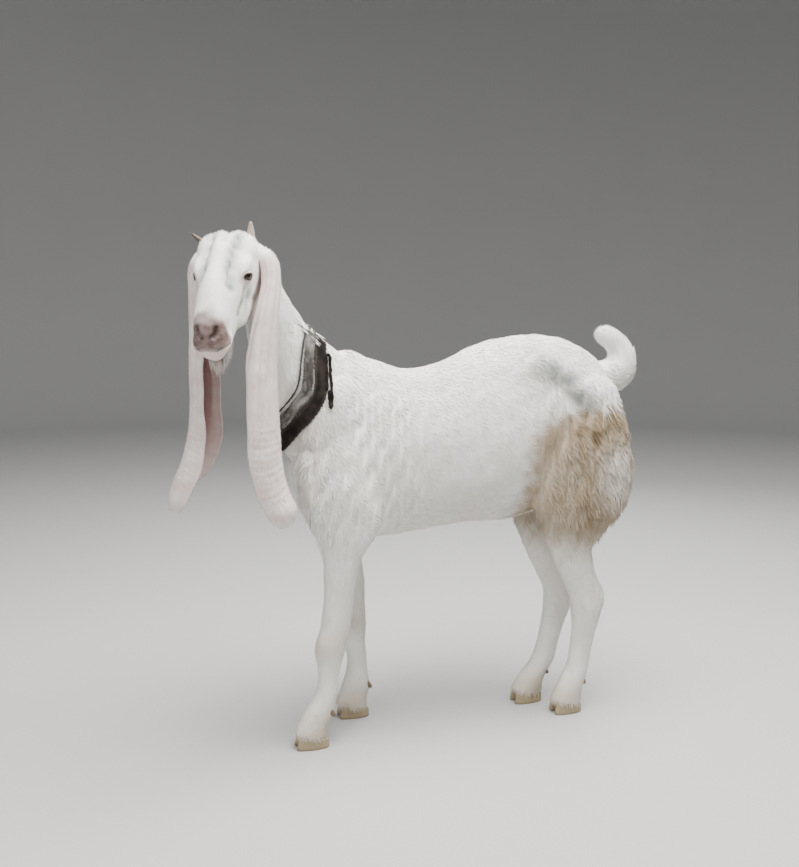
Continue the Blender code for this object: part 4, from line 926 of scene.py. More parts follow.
def regions(places, normals):
    """How much each place belongs to each part, from 0 to 1, and how far along the ears and tail it lies."""
    x, y, z = places.T
    ear_all, inside, down, raw = np.zeros((4, len(places)))
    ear_way = np.zeros((len(places), 3))
    for side in EARS:
        row, way, distance, t, turned = round_ear(places, side)
        ratio = distance / np.maximum(row[:, 3], 0.018)
        here = fade(ratio, 1.45, 1.25) * fade(t, 0.035, 0.075)
        here = np.where(t > 0.97, fade(ratio, 2.0, 1.6), here)
        concave = fade(-(unit(places - row[:, :3]) * normals).sum(axis=1), -0.1, 0.25)
        # The trough of each ear's roll, on its hollow side, is painted deep red: the inner ear's own red,
        # darkened with painted shade
        trough = fade(np.abs(turned) / np.radians(row[:, 4]), 0.86, 0.3)
        trough = concave * trough * fade(t, 0.2, 0.38) * fade(t, 0.97, 0.88)
        better = here > ear_all
        raw, inside, down = np.where(better, (trough, concave, t), (raw, inside, down))
        ear_way = np.where(better[:, None], way, ear_way)
        ear_all = np.maximum(ear_all, here)
    found = {"ear": ear_all, "ear_inside": inside, "ear_down": down, "ear_way": ear_way, "ear_raw_and_shade": raw}
    path = tail_path()
    nearest, distance, t = along_path(places, path)
    tail = fade(distance / path[nearest, 3], 1.5, 1.2) * fade(t, 0.18, 0.34) * fade(z, 0.74, 0.77)
    found["tail"], found["tail_down"], found["tail_way"] = tail, t, ways_along(path)[nearest]
    found["head"] = fade(head_ahead(places), -0.02, 0.022) * (1 - ear_all)
    found["neck"] = fade(neck_ahead(places), -0.03, 0.025) * (1 - found["head"]) * (1 - ear_all)
    low_fore = fade(z, 0.5, 0.42) * (x < -0.05) * (1 - ear_all)
    low_hind = fade(z, 0.46, 0.38) * (x > 0.05)
    found["foreleg"], found["hindleg"] = low_fore, low_hind
    below = thigh_below(places)
    found["thigh"] = fade(below, -0.02, 0.05) * fade(x, 0.13, 0.2) * (1 - low_hind)
    return found


# Materials

class Wire:
    """A socket's value that takes part in arithmetic."""

    def __init__(self, sheet, socket):
        self.sheet = sheet
        self.socket = socket

    def __add__(self, other):
        return self.sheet.math("ADD", self, other)

    def __radd__(self, other):
        return self.sheet.math("ADD", other, self)

    def __sub__(self, other):
        return self.sheet.math("SUBTRACT", self, other)

    def __rsub__(self, other):
        return self.sheet.math("SUBTRACT", other, self)

    def __mul__(self, other):
        return self.sheet.math("MULTIPLY", self, other)

    def __rmul__(self, other):
        return self.sheet.math("MULTIPLY", other, self)

    def __pow__(self, other):
        return self.sheet.math("POWER", self, other)


class Sheet:
    """One material, written as expressions."""

    def __init__(self, name):
        self.material = bpy.data.materials.new(name)
        self.material.use_nodes = True
        self.tree = self.material.node_tree
        self.tree.nodes.clear()

    def node(self, kind, settings=None, values=None, output=0):
        """Any node: its settings, then the values or wires of its sockets; returns one output, if any."""
        made = self.tree.nodes.new(kind)
        for key, value in (settings or {}).items():
            setattr(made, key, value)
        for key, value in (values or {}).items():
            if isinstance(value, Wire):
                self.tree.links.new(value.socket, made.inputs[key])
            else:
                made.inputs[key].default_value = value
        return None if output is None else Wire(self, made.outputs[output])

    def math(self, operation, *values):
        return self.node("ShaderNodeMath", {"operation": operation}, dict(enumerate(values)))

    def step(self, value, start, end):
        """0 before start and 1 after end, smooth between."""
        values = {0: value, 1: start, 2: end, 3: 0.0, 4: 1.0}
        return self.node("ShaderNodeMapRange", {"interpolation_type": "SMOOTHSTEP"}, values)

    def mix(self, factor, first, second, blend="MIX"):
        """Two colours mixed by a factor, which the node holds between 0 and 1."""
        values = {0: factor}
        for key, colour in ((6, first), (7, second)):
            values[key] = colour if isinstance(colour, Wire) else (*colour[:3], 1.0)
        return self.node("ShaderNodeMix", {"data_type": "RGBA", "blend_type": blend}, values, 2)

    def mark(self, name):
        """A number that the mesh keeps for each point."""
        return self.node("ShaderNodeAttribute", {"attribute_name": name}, output=2)

    def place(self, stretch=(1.0, 1.0, 1.0)):
        """The place on the object in metres, stretched along its axes."""
        where = self.node("ShaderNodeTexCoord", output=3)
        return self.node("ShaderNodeVectorMath", {"operation": "MULTIPLY"}, {0: where, 1: stretch})

    def marked_place(self, *names):
        """A place made of up to three numbers that the mesh keeps."""
        return self.node("ShaderNodeCombineXYZ", None, dict(enumerate(self.mark(name) for name in names)))

    def noise(self, scale, detail=3.0, roughness=0.55, place=None):
        place = self.place() if place is None else place
        return self.node("ShaderNodeTexNoise", None,
                         {"Vector": place, "Scale": scale, "Detail": detail, "Roughness": roughness})

    def threads(self, pitch):
        """Crossing threads of a weave, from the marks along and across a band."""
        along, across = (self.math("SINE", self.mark(name) * pitch) for name in ("along", "across"))
        return along * across

    def finish(self, colour, roughness, height=None, relief=0.001, strength=1.0, **constants):
        """The shader itself; height is in shares of relief, which is in metres."""
        values = {"Base Color": colour, "Roughness": roughness}
        values.update({key.replace("_", " "): value for key, value in constants.items()})
        if height is not None:
            bump = {"Strength": strength, "Distance": relief, "Height": height}
            values["Normal"] = self.node("ShaderNodeBump", None, bump)
        shader = self.node("ShaderNodeBsdfPrincipled", None, values)
        self.node("ShaderNodeOutputMaterial", None, {"Surface": shader}, None)
        return self.material


def blank(name):
    """A new sheet, and the colours to write it with."""
    return Sheet(name), bpy.context.scene.goat_look


# Markings kept for the skin and the coat; the thighs' tan and brown, the grey of the hollows and the red of
# the inner ears also carry painted shade
MARKS = ("tan", "brown", "soil", "grey", "pink", "raw", "muzzle")


def coat_colour(sheet, look):
    """The animal's colour from its markings and its painted shade, alike on the skin and on the coat."""
    broad = sheet.noise(11.0)
    fine = sheet.noise(95.0, 2.0)
    streak = sheet.noise(60.0, 3.0, 0.6, sheet.place((1.0, 1.0, 0.22)))
    colour = sheet.mix(sheet.step(broad + fine * 0.35, 0.45, 0.85), look.white, look.white_shade)
    for name, least, noise, swing in (("tan", 0.62, streak, 0.75), ("brown", 0.35, streak, 1.2),
                                      ("soil", 0.45, broad, 1.0), ("grey", 0.6, streak, 0.8),
                                      ("pink", 0.85, fine, 0.3), ("raw", 0.8, broad, 0.4),
                                      ("muzzle", 0.75, fine, 0.5)):
        colour = sheet.mix(sheet.mark(name) * (least + noise * swing), colour, getattr(look, name))
    return colour


def skin_material():
    sheet, look = blank("goat_skin")
    colour = coat_colour(sheet, look)
    # Painted shade: darkens the nostrils, the mouth's groove and the edges of the lid openings
    colour = sheet.mix(sheet.mark("deep"), colour, look.crease_shade, "MULTIPLY")
    raw, muzzle = sheet.mark("raw"), sheet.mark("muzzle")
    hair = sheet.noise(420.0, 3.0, 0.6, sheet.place((1.0, 1.0, 0.35)))
    pores = sheet.noise(900.0, 2.0)
    height = hair * (1 - muzzle) * 0.8 + pores * 0.5
    rough = 0.72 - muzzle * 0.3 - raw * 0.12 + pores * 0.06
    return sheet.finish(colour, rough, height, 0.0006, 0.5, Subsurface_Weight=0.06, Subsurface_Scale=0.004)


def coat_material():
    sheet, look = blank("goat_coat")
    colour = coat_colour(sheet, look)
    shade = sheet.mark("shade")
    # Each tuft's tone differs at random; the rise along it is painted shade, darker at its root than at its
    # tip
    light = 0.85 + shade * 0.14 + sheet.step(sheet.mark("tip"), 0.0, 0.8) * 0.08
    colour = sheet.mix(1.0, colour, light, "MULTIPLY")
    return sheet.finish(colour, 0.62 + shade * 0.12, Specular_IOR_Level=0.35, Sheen_Weight=0.12,
                        Sheen_Roughness=0.5)


def eye_material():
    sheet, look = blank("goat_eye")
    a, b, front = sheet.mark("across"), sheet.mark("upward"), sheet.mark("front")
    reach = sheet.math("SQRT", a * a + b * b)
    spokes = sheet.noise(38.0, 3.0, 0.6, sheet.marked_place("spoke_x", "spoke_y"))
    iris = sheet.mix(spokes * 1.2 - 0.1, look.iris, look.iris_light)
    iris = sheet.mix(sheet.step(reach, 0.58, 0.76), iris, (0.006, 0.004, 0.003))
    slit = sheet.step(sheet.math("ABSOLUTE", b) * 2.3 + sheet.math("ABSOLUTE", a) ** 4.0 * 9.0, 0.42, 0.34)
    iris = sheet.mix(slit, iris, (0.004, 0.004, 0.005))
    white = sheet.mix(sheet.noise(500.0), (0.3, 0.22, 0.19), (0.48, 0.4, 0.36))
    around = sheet.step(reach, 0.76, 0.84) + (1 - sheet.step(front, 0.0, 0.2))
    colour = sheet.mix(around, iris, white)
    return sheet.finish(colour, 0.1 + spokes * 0.04, Coat_Weight=0.5, Coat_Roughness=0.03,
                        Specular_IOR_Level=0.4)


def horn_material(name, wall, ring):
    sheet, look = blank(name)
    rings = sheet.noise(5.0, 3.0, 0.6, sheet.marked_place("along", "around_x", "around_y"))
    colour = sheet.mix(rings * 1.4 - 0.2, wall, ring)
    colour = sheet.mix(sheet.step(sheet.mark("along"), 0.6, 1.0) * 0.3, colour, look.horn_dark)
    grain = sheet.noise(700.0)
    return sheet.finish(colour, 0.42 + grain * 0.15, rings * 0.7 + grain * 0.3, 0.0007)


def hoof_material(name, wall, ring):
    sheet, look = blank(name)
    bands = sheet.noise(26.0, 3.0, 0.6, sheet.marked_place("level"))
    grain = sheet.noise(420.0, 3.0, 0.6, sheet.place((1.0, 1.0, 0.15)))
    colour = sheet.mix(bands * 1.5 - 0.25, wall, ring)
    colour = sheet.mix(grain * 0.6, colour, look.hoof_dark)
    worn = sheet.step(sheet.mark("level") + grain * 0.2, 0.42, 0.06)
    colour = sheet.mix(worn * 0.7, colour, look.hoof_dark)
    return sheet.finish(colour, 0.5 + bands * 0.15, bands * 0.6 + grain * 0.4, 0.0008)


def strap_material():
    sheet, look = blank("goat_strap")
    dirt = sheet.noise(38.0, 4.0, 0.65)
    edge = sheet.step(sheet.math("ABSOLUTE", sheet.mark("edge")), 0.55, 1.0)
    colour = sheet.mix(sheet.step(dirt, 0.4, 0.7), look.strap, look.strap_worn)
    colour = sheet.mix(edge * (0.2 + dirt), colour, look.strap_edge)
    height = sheet.threads(3400.0) * 0.5 + dirt * 0.6
    return sheet.finish(colour, 0.9 - dirt * 0.1, height, 0.0009, Specular_IOR_Level=0.15)


def band_material():
    sheet, look = blank("goat_band")
    stain_and_fold_shade = sheet.noise(24.0, 4.0, 0.6)
    creases = sheet.noise(90.0, 4.0, 0.6)
    # Darker where the stain and crease noises are high: partly stains, partly painted shade in the folds of
    # the cloth
    colour = sheet.mix(sheet.step(stain_and_fold_shade + creases * 0.5, 0.55, 0.88), look.band, look.band_stain_and_shade)
    height = sheet.threads(5200.0) * 0.15 + creases * 0.9
    return sheet.finish(colour, 0.9, height, 0.0035, Specular_IOR_Level=0.2)


def cord_material():
    sheet, look = blank("goat_cord")
    twist = sheet.math("SINE", sheet.mark("along") * 1800.0 + sheet.mark("around") * 2.0)
    fibre = sheet.noise(600.0)
    colour = sheet.mix(fibre, look.cord, look.cord_worn)
    return sheet.finish(colour, 0.75, twist * 0.7 + fibre * 0.4, 0.0008)


def floor_material():
    sheet, look = blank("stage_floor")
    broad = sheet.noise(1.6)
    fine = sheet.noise(60.0)
    colour = sheet.mix(broad * 0.7 + fine * 0.3, look.floor, look.floor_shade)
    return sheet.finish(colour, 0.82 + fine * 0.08, fine, 0.0004)


# The skin

SKIN_GRAIN = 0.0042
SOFTENING = 9


def soften(thing, group=""):
    """Smooths a thing, or the weighted part of it, and applies its modifiers."""
    smooth = thing.modifiers.new("soften", "SMOOTH")
    smooth.factor = 0.5
    smooth.iterations = SOFTENING
    smooth.vertex_group = group
    return baked(thing)


def build_flesh():
    """The whole animal without ears, horns and hooves, as one even skin."""
    shapes = [trunk_form(), neck_form(), head_form(), tail_form()]
    for side in (-1, 1):
        shapes += [leg_form(rows, side, shift) for rows, shift in LEGS.values()]
    for (u, v, w), radii in HEAD_MASSES:
        shapes += [ball(head_point((u, v, w * way)), radii, HEAD_FRAME) for way in (1, -1)]
    shapes.append(ball(head_point(CHIN_PLACE), CHIN_RADII, HEAD_FRAME))
    shapes += body_masses()
    body = new_object("skin", *merged(shapes))
    remesh = body.modifiers.new("even", "REMESH")
    remesh.mode = "VOXEL"
    remesh.voxel_size = SKIN_GRAIN
    return soften(body)


# The rows of each ear, counted from its root, round which the skin is softened, and how far
EAR_SOFT = ((4, 0.045), (-1, 0.028))


def add_ears(body):
    """Joins the ears to the skin, and softens the skin round their roots and tips."""
    for side in EARS:
        ear = solid("ear", ear_form(side, EAR_THICKNESS))
        join = body.modifiers.new("join", "BOOLEAN")
        join.operation = "UNION"
        join.solver = "MANIFOLD"
        join.object = ear
        baked(body)
        bpy.data.objects.remove(ear)
    group = body.vertex_groups.new(name="soft")
    places = points_of(body.data)
    for side in EARS:
        table = ear_rows(side)[0]
        for row, reach in EAR_SOFT:
            distance = np.linalg.norm(places - table[row, :3], axis=1)
            for index in np.nonzero(distance < reach)[0]:
                group.add([int(index)], float(fade(distance[index], reach, reach * 0.55)), "ADD")
    soften(body, group.name)


# On the thigh, seen from its side: place, radii and strength of the brown patches; the third, low on the
# thigh, and the fourth, in a fold of its locks, are painted shade
BROWN_OVALS = (
    ((0.29, 0.672), (0.032, 0.036), 0.9),
    ((0.262, 0.61), (0.03, 0.045), 0.45),
    ((0.305, 0.49), (0.04, 0.055), 0.5),
    ((0.352, 0.56), (0.009, 0.028), 0.6),
)
# Height and x of the front edge of the tan, which is partly painted shade, the hollow before the hip, which
# takes painted shade, and the grey tuft of the crest
TAN_FRONT = ((0.45, 0.12), (0.57, 0.14), (0.66, 0.155), (0.695, 0.195), (0.735, 0.32))
HIP_HOLLOW = np.array(((0.185, -0.095, 0.825), (0.225, -0.096, 0.785), (0.272, -0.092, 0.735)))
CREST_TUFT = (-0.303, -0.02, 0.862)
# Lines of painted shade, in grey, on each side of the face: the line, how wide it is and how strong
SHADE_LINES = ((FACE_HOLLOW, 0.013, 0.95), (FURROWS[0], 0.006, 0.9), (FURROWS[1], 0.0055, 0.9))


def oval(x, z, place, radii):
    return np.exp(-((x - place[0]) / radii[0]) ** 2 - ((z - place[1]) / radii[1]) ** 2)


def mark_skin(thing):
    """Keeps the markings, some of them painted shade, on the skin's points, each from 0 to 1."""
    mesh = thing.data
    places, normals = points_of(mesh), normals_of(mesh)
    found = regions(places, normals)
    x, y, z = places.T
    local = head_places(places)
    rag = wander(places, 0.03, 21)
    broad = wander(places, 0.09, 22)
    side = fade(np.abs(y) + 0.012 * rag, 0.012, 0.04)
    x, z = x + 0.008 * rag, z + 0.012 * wander(places, 0.03, 23)
    # Tan of the thigh, partly painted shade: its colour is darkened for the shade on the lower thigh, and it
    # reaches forward low on the flank where shade falls
    front = x - np.interp(z, *zip(*TAN_FRONT))
    tan = 0.82 * fade(front, -0.025, 0.03) + 0.16 * fade(x, 0.24, 0.3)
    tan = tan * fade(z, 0.735, 0.695) * fade(z, 0.34, 0.47) * side
    tan = tan * (1 - 0.75 * oval(x, z, (0.356, 0.565), (0.05, 0.078)))
    # Brown streaks in the tan, with painted shade low on the thigh and in a fold of its locks
    brown = np.zeros(len(places))
    for place, radii, amount in BROWN_OVALS:
        brown = np.maximum(brown, amount * oval(x, z, place, radii))
    brown = brown * (0.85 + 0.3 * rag) * side
    x, y, z = places.T
    soil = 0.55 * fade(z, 0.11, 0.045) * (x > -0.5)
    knee = 0.5 * np.exp(-((z - 0.232) / 0.03) ** 2) * (x < 0.0) * found["foreleg"]
    hock = 0.4 * np.exp(-((z - 0.285) / 0.035) ** 2) * fade(x, 0.29, 0.33) * found["hindleg"]
    soil = np.clip(np.maximum(np.maximum(soil, knee), hock) * (0.8 + 0.4 * broad), 0, 1)
    tree = tree_of(mesh)
    # Painted shade in grey along the cleft of the forehead, the hollows and furrows of the face and the
    # hollow before the hip, and the grey tuft of the crest
    shade_and_tuft_lines = [(side_line(MIDDLE_STROKES[0][0], 1), 0.008, 0.45), ((CREST_TUFT,), 0.016, 0.9)]
    for way in (1, -1):
        shade_and_tuft_lines += [(side_line(line, way), radius, amount) for line, radius, amount in SHADE_LINES]
        shade_and_tuft_lines.append((HIP_HOLLOW * (1, -way, 1), 0.032, 0.8))
    grey = [stroke(places, laid(tree, line), radius, amount) for line, radius, amount in shade_and_tuft_lines]
    grey = np.max(grey, axis=0) * (0.85 + 0.3 * rag)
    nose = found["head"] * fade(local[:, 0] + 0.006 * rag + 0.1 * (local[:, 1] + 0.03), 0.114, 0.138)
    muzzle = 0.9 * nose * fade(local[:, 1], -0.04, -0.026)
    lip = np.zeros(len(places))
    for way in (1, -1):
        lip = np.maximum(lip, found["head"] * stroke(places, side_line(MOUTH_LINE, way), 0.006, 0.8))
    # raw: red of the inner ear, with painted shade in its trough
    ear, inner, raw = found["ear"], found["ear_inside"], found["ear"] * found["ear_raw_and_shade"]
    pink = ear * (0.55 + 0.12 * broad + 0.1 * rag + 0.25 * inner)
    pink = np.maximum(pink, np.maximum(0.55 * nose, lip * 0.7))
    bare = np.maximum(np.maximum(muzzle, lip) * 0.8, ear * inner * 0.93)
    # deep is painted shade inside the lid openings, the nostrils and the mouth's groove
    deep = np.zeros(len(places))
    for way in (1, -1):
        centre, out, length, height = eye_frame(way)
        eye = (places - centre) @ np.array([length, height, out]).T
        opening = np.hypot(eye[:, 0] / (LID_HALF_LENGTH + 0.0015), eye[:, 1] / (LID_HALF_HEIGHT + 0.0012))
        rim = fade(opening, 1.45, 1.12) * (eye[:, 2] > -0.004) * (np.abs(eye[:, 2]) < 0.03)
        bare = np.maximum(bare, rim)
        pink = np.maximum(pink, rim * 0.8)
        deep = np.maximum(deep, rim * fade(opening, 1.1, 0.85))
        nostril = side_line(NOSTRIL_LINE, way)
        bare = np.maximum(bare, stroke(places, nostril, 0.006, 1.0))
        deep = np.maximum(deep, stroke(places, nostril - out * 0.008, 0.006, 0.9))
    mouth = np.concatenate([side_line(MOUTH_LINE, -1)[::-1], side_line(MOUTH_LINE, 1)])
    mouth = stroke(places, mouth, 0.003, 1)
    bare, deep = np.maximum(bare, mouth), np.maximum(deep, mouth * 0.85)
    for below in feet_below(places):
        bare = np.maximum(bare, below[2])
    values = {"tan": tan, "brown": brown, "soil": soil, "grey": grey, "pink": pink, "raw": raw,
              "muzzle": muzzle, "bare": bare, "deep": deep}
    for name, value in values.items():
        set_mark(mesh, name, np.clip(value, 0, 1))


# The coat

COAT_SEED = 4
# The short coat of the trunk, neck, chest, thigh, upper leg, foot, head, nose, ears and tail
SHORT_COAT = {
    "length": (0.013, 0.014, 0.019, 0.02, 0.0095, 0.0075, 0.0065, 0.004, 0.006, 0.013),
    "lift": (0.0019, 0.002, 0.0038, 0.0045, 0.0017, 0.0013, 0.001, 0.0006, 0.0009, 0.0024),
    "width": (0.0023, 0.0021, 0.0024, 0.0026, 0.0017, 0.0014, 0.0012, 0.0009, 0.0014, 0.0024),
    "space": (0.0041, 0.0038, 0.0041, 0.0043, 0.0034, 0.003, 0.0026, 0.0021, 0.0036, 0.004),
}
# The coat's pieces in the order in which they claim a root: the part of the animal, or all that is left, and
# its side, where less than 0 is the left one and 0 is both
COAT_PIECES = {
    "ears": ("ear", 0), "tail": ("tail", 0), "head": ("head", 0), "foreleg": ("foreleg", 0),
    "hindleg": ("hindleg", 0), "thigh_left": ("thigh", -1), "thigh_right": ("thigh", 1), "neck": ("neck", 0),
    "back_left": (None, -1), "back_right": (None, 1),
}
# The longer hair: spacing, lift and width of its tufts, and how much they droop
LONG_COAT = {
    "thigh": (0.0078, 0.006, 0.0034, 0.25),
    "tail": (0.0056, 0.002, 0.003, 0.0),
    "neck": (0.0032, 0.0075, 0.0042, 0.0),
    "head": (0.0027, 0.002, 0.002, 5.0),
    "back": (0.0085, 0.005, 0.003, 0.2),
}
MANE_LENGTH = 0.04
CHEST_LENGTH = 0.026
# Hair that droops this much or more hangs straight down, away from the skin
HANGS_FREE = 3.0
# One tuft of the longer hair in so many leads a lock, and the others' tips are drawn towards its tip
LOCK_SHARE = 11
LOCK_PULL = 0.62
# So many tufts at a time look for the nearest one that leads a lock
LOCK_BATCH = 2000
# Size of a tuft on the bake's map, and the lowest place of a tuft
PATCH = 0.003
TUFT_FLOOR = 0.0006


def coat_plan(places, normals):
    """For each point of the skin how its hair lies, its length and lift, and its spacing, in metres."""
    found = regions(places, normals)
    x, y, z = places.T
    head, ear, neck, tail = found["head"], found["ear"], found["neck"], found["tail"]
    fore, hind, thigh = found["foreleg"], found["hindleg"], found["thigh"]
    legs = np.maximum(fore, hind)
    chest = fade(x, -0.255, -0.3) * fade(z, 0.74, 0.66) * (1 - fore) * (1 - ear) * (1 - head)
    side = 1 - fade(np.abs(normals[:, 2]), 0.35, 0.95)
    local = head_places(places)
    way = np.stack([np.ones(len(x)), 0 * x, -0.2 - 0.55 * side], axis=1)

    def lean(weight, towards):
        return way * (1 - weight[:, None]) + np.asarray(towards, float) * weight[:, None]

    way = lean(thigh, (0.34, 0.0, -1.0))
    way = lean(neck * 0.95, (0.42, 0.02, -0.9))
    way = lean(chest, (0.1, 0.0, -1.0))
    way = lean(legs, (0.12, 0.0, -1.0))
    cheek = fade(local[:, 1], 0.01, -0.06)
    way = lean(head, -np.array(ALONG) + 0 * places + cheek[:, None] * np.array([0.25, 0.1, -0.55]))
    way = way * (1 - tail[:, None]) + found["tail_way"] * tail[:, None]
    way = way * (1 - ear[:, None]) + found["ear_way"] * ear[:, None]
    way = laid_along(way, normals)
    swirl = 0.3 * wander(places, 0.075, 31) + 0.2 * wander(places, 0.024, 32)
    swirl = swirl * (1 - 0.65 * np.maximum(head, ear)) * (1 - 0.5 * legs)
    way = unit(way * np.cos(swirl)[:, None] + np.cross(normals, way) * np.sin(swirl)[:, None])
    nose = fade(local[:, 0], 0.02, 0.15)
    low = fade(z, 0.3, 0.08)

    def blend(trunk, on_neck, on_chest, on_thigh, on_leg, low_leg, on_head, on_nose, on_ear, on_tail):
        value = trunk + (on_thigh - trunk) * thigh
        value = value + (on_neck - value) * neck
        value = value + (on_chest - value) * chest
        value = value + ((on_leg + (low_leg - on_leg) * low) - value) * legs
        value = value + ((on_head + (on_nose - on_head) * nose) - value) * head
        value = value + (on_tail - value) * tail
        return value + (on_ear - value) * ear

    plan = {key: blend(*row) for key, row in SHORT_COAT.items()}
    poll = head * fade(local[:, 0], -0.025, -0.07) * fade(local[:, 1], 0.0, 0.035)
    cuff = legs * fade(z, 0.06, 0.032)
    plan["length"] += 0.007 * poll + 0.008 * cuff
    plan["lift"] += 0.004 * poll + 0.0012 * cuff
    plan["length"] *= 1 - 0.45 * tail * fade(found["tail_down"], 0.6, 0.85)
    plan["lift"] *= 1 + 0.55 * ripple(places)
    return way, plan, found, chest


def triangles_of(mesh):
    mesh.calc_loop_triangles()
    return rows_from(mesh.loop_triangles, "vertices", np.int32)


def scatter(places, corners, density, draw):
    """Spreads points over triangles, so many to the square metre; returns what reads a value at them."""
    a, b, c = (places[corners[:, k]] for k in range(3))
    area = np.linalg.norm(np.cross(b - a, c - a), axis=1) / 2
    expected = np.cumsum(area * density[corners].mean(axis=1))
    count = int(expected[-1])
    marks = (np.arange(count) + draw.uniform(0, 1, count)) * expected[-1] / max(count, 1)
    face = np.minimum(np.searchsorted(expected, marks), len(corners) - 1)
    p, q = np.sqrt(draw.uniform(0, 1, count)), draw.uniform(0, 1, count)
    weights = np.stack([1 - p, p * (1 - q), p * q], axis=1)

    def read(values):
        picked = values[corners[face]]
        return (picked * (weights if picked.ndim == 2 else weights[:, :, None])).sum(axis=1)

    return read


def tuft_mesh(name, roots, normals, ways, length, width, lift, rings, uv, marks, draw, pull=0.0, sink=0.0012,
              hangs=False):
    """Closed three-sided tufts: each starts under the skin, lies along it and tapers to a point."""
    count, per = len(roots), rings * 3 + 1
    across = np.cross(normals, ways)
    hanging = np.linalg.norm(across, axis=1) < 0.6
    across[hanging] = np.cross((roots - roots.mean(axis=0))[hanging], ways[hanging])
    across = unit(across)
    normals = np.cross(ways, across)
    bow = draw.normal(0, 0.1, count)[:, None] * across
    levels = np.arange(rings + 1) / rings
    verts = np.empty((count, per, 3))
    shading = np.empty((count, per, 3))
    for k, t in enumerate(levels):
        rise = lift * t ** 0.9 - sink * (1 - t) ** 3
        centre = roots + ways * (length * t)[:, None] + normals * rise[:, None]
        centre = centre + bow * (length * t * t)[:, None] + pull * t * t
        half = (width / 2 * (0.55 + 0.45 * min(1.0, t * 3)) * (1 - t ** 1.8))[:, None]
        if k == rings:
            verts[:, -1] = centre
            shading[:, -1] = normals
            continue
        verts[:, 3 * k] = centre - across * half
        verts[:, 3 * k + 1] = centre + across * half
        verts[:, 3 * k + 2] = centre + normals * (half * 0.5)
        shading[:, 3 * k] = normals - across * 0.38
        shading[:, 3 * k + 1] = normals + across * 0.38
        shading[:, 3 * k + 2] = normals
    faces = [(0, 2, 1)]
    for k in range(0, 3 * rings - 3, 3):
        faces += [(k + i, k + (i + 1) % 3, k + 3 + (i + 1) % 3, k + 3 + i) for i in range(3)]
    faces += [(3 * rings - 3 + i, 3 * rings - 3 + (i + 1) % 3, per - 1) for i in range(3)]
    pattern = np.array([i for face in faces for i in face])
    loops = (pattern[None, :] + (np.arange(count) * per)[:, None]).ravel()
    totals = np.tile([len(face) for face in faces], count)
    starts = np.concatenate(([0], np.cumsum(totals)[:-1]))
    mesh = bpy.data.meshes.new(name)
    mesh.vertices.add(count * per)
    verts[:, :, 2] = np.maximum(verts[:, :, 2], TUFT_FLOOR)
    mesh.vertices.foreach_set("co", (verts + np.array(SHIFT)).reshape(-1).astype(np.float32))
    mesh.loops.add(len(loops))
    mesh.loops.foreach_set("vertex_index", loops.astype(np.int32))
    mesh.polygons.add(len(totals))
    mesh.polygons.foreach_set("loop_start", starts.astype(np.int32))
    mesh.polygons.foreach_set("loop_total", totals.astype(np.int32))
    mesh.update(calc_edges=True)
    at = np.array([min(i // 3, rings) / rings for i in range(per)])
    at[-1] = 1.0
    set_mark(mesh, "tip", np.tile(at, count))
    shade = 0.5 * draw.uniform(0, 1, count) + 0.25 * (1 + np.clip(wander(roots, 0.011, 34), -1, 1))
    set_mark(mesh, "shade", np.repeat(shade, per))
    for key, value in marks.items():
        set_mark(mesh, key, np.repeat(value, per))
    aside = np.array([(-0.5, 0.5, 0.0)[i % 3] if i < per - 1 else 0.0 for i in range(per)])
    patch = uv[:, None, :] + np.stack([aside, at], axis=1)[None] * PATCH
    layer = mesh.uv_layers.new(name="OFBake")
    layer.uv.foreach_set("vector", patch.reshape(-1, 2)[loops].astype(np.float32).ravel())
    mesh.shade_smooth()
    if not hangs:
        mesh.normals_split_custom_set_from_vertices(unit(shading).reshape(-1, 3))
    return placed(name, mesh)


def coat_piece(found, places):
    """The number of the coat's piece that each root belongs to."""
    left = places[:, 1] < 0
    number = np.full(len(places), -1)
    for index, (part, side) in enumerate(COAT_PIECES.values()):
        claimed = number < 0
        if part:
            claimed &= found[part] > 0.5
        if side:
            claimed &= left == (side < 0)
        number[claimed] = index
    return number


def chart(piece, places, found=None):
    """Each root's place on an unwrap round its piece's own line, from 0 to 1; only the ears need found."""
    x, y, z = places.T
    right = y > 0

    def around(first, second):
        return np.arctan2(first, second) / (2 * math.pi) + 0.5

    if piece in LEGS:
        along = np.clip(z / 0.52, 0, 1)
        turned = np.zeros(len(x))
        for way, mask in ((-1, ~right), (1, right)):
            middle = leg_middle(LEGS[piece][0], way, LEGS[piece][1])
            turned[mask] = around(y[mask] - np.interp(z[mask], middle[:, 2], middle[:, 1]),
                                  x[mask] - np.interp(z[mask], middle[:, 2], middle[:, 0]))
        return np.stack([along, turned * 0.48 + 0.5 * right], axis=1)
    if piece == "ears":
        angle = [round_ear(places, side)[4] / (2 * math.pi) + 0.5 for side in EARS]
        turned = np.where(right, angle[1], angle[0]) * 0.23 + 0.25 * (found["ear_inside"] > 0.5)
        return np.stack([found["ear_down"], turned + 0.5 * right], axis=1)
    if piece == "tail":
        path = tail_path()
        nearest, distance, t = along_path(places, path)
        way = ways_along(path)[nearest]
        off = places - path[nearest, :3]
        return np.stack([t, around(off[:, 1], off[:, 2] * way[:, 0] - off[:, 0] * way[:, 2])], axis=1)
    if piece == "head":
        local = head_places(places)
        return np.stack([(local[:, 0] + 0.14) / 0.34, around(local[:, 2], local[:, 1] + 0.02)], axis=1)
    if piece == "neck":
        ahead = neck_ahead(places)
        spine = -0.325 - 0.62 * (ahead * 0.4) - x
        return np.stack([(ahead + 0.04) / 0.42, around(y, spine)], axis=1)
    if piece.startswith("thigh"):
        return np.stack([around(np.abs(y) - 0.045, x - 0.29), (z - 0.36) / 0.4], axis=1)
    return np.stack([(x + 0.36) / 0.8, around(np.abs(y), z - 0.66) * 2 - 1], axis=1)


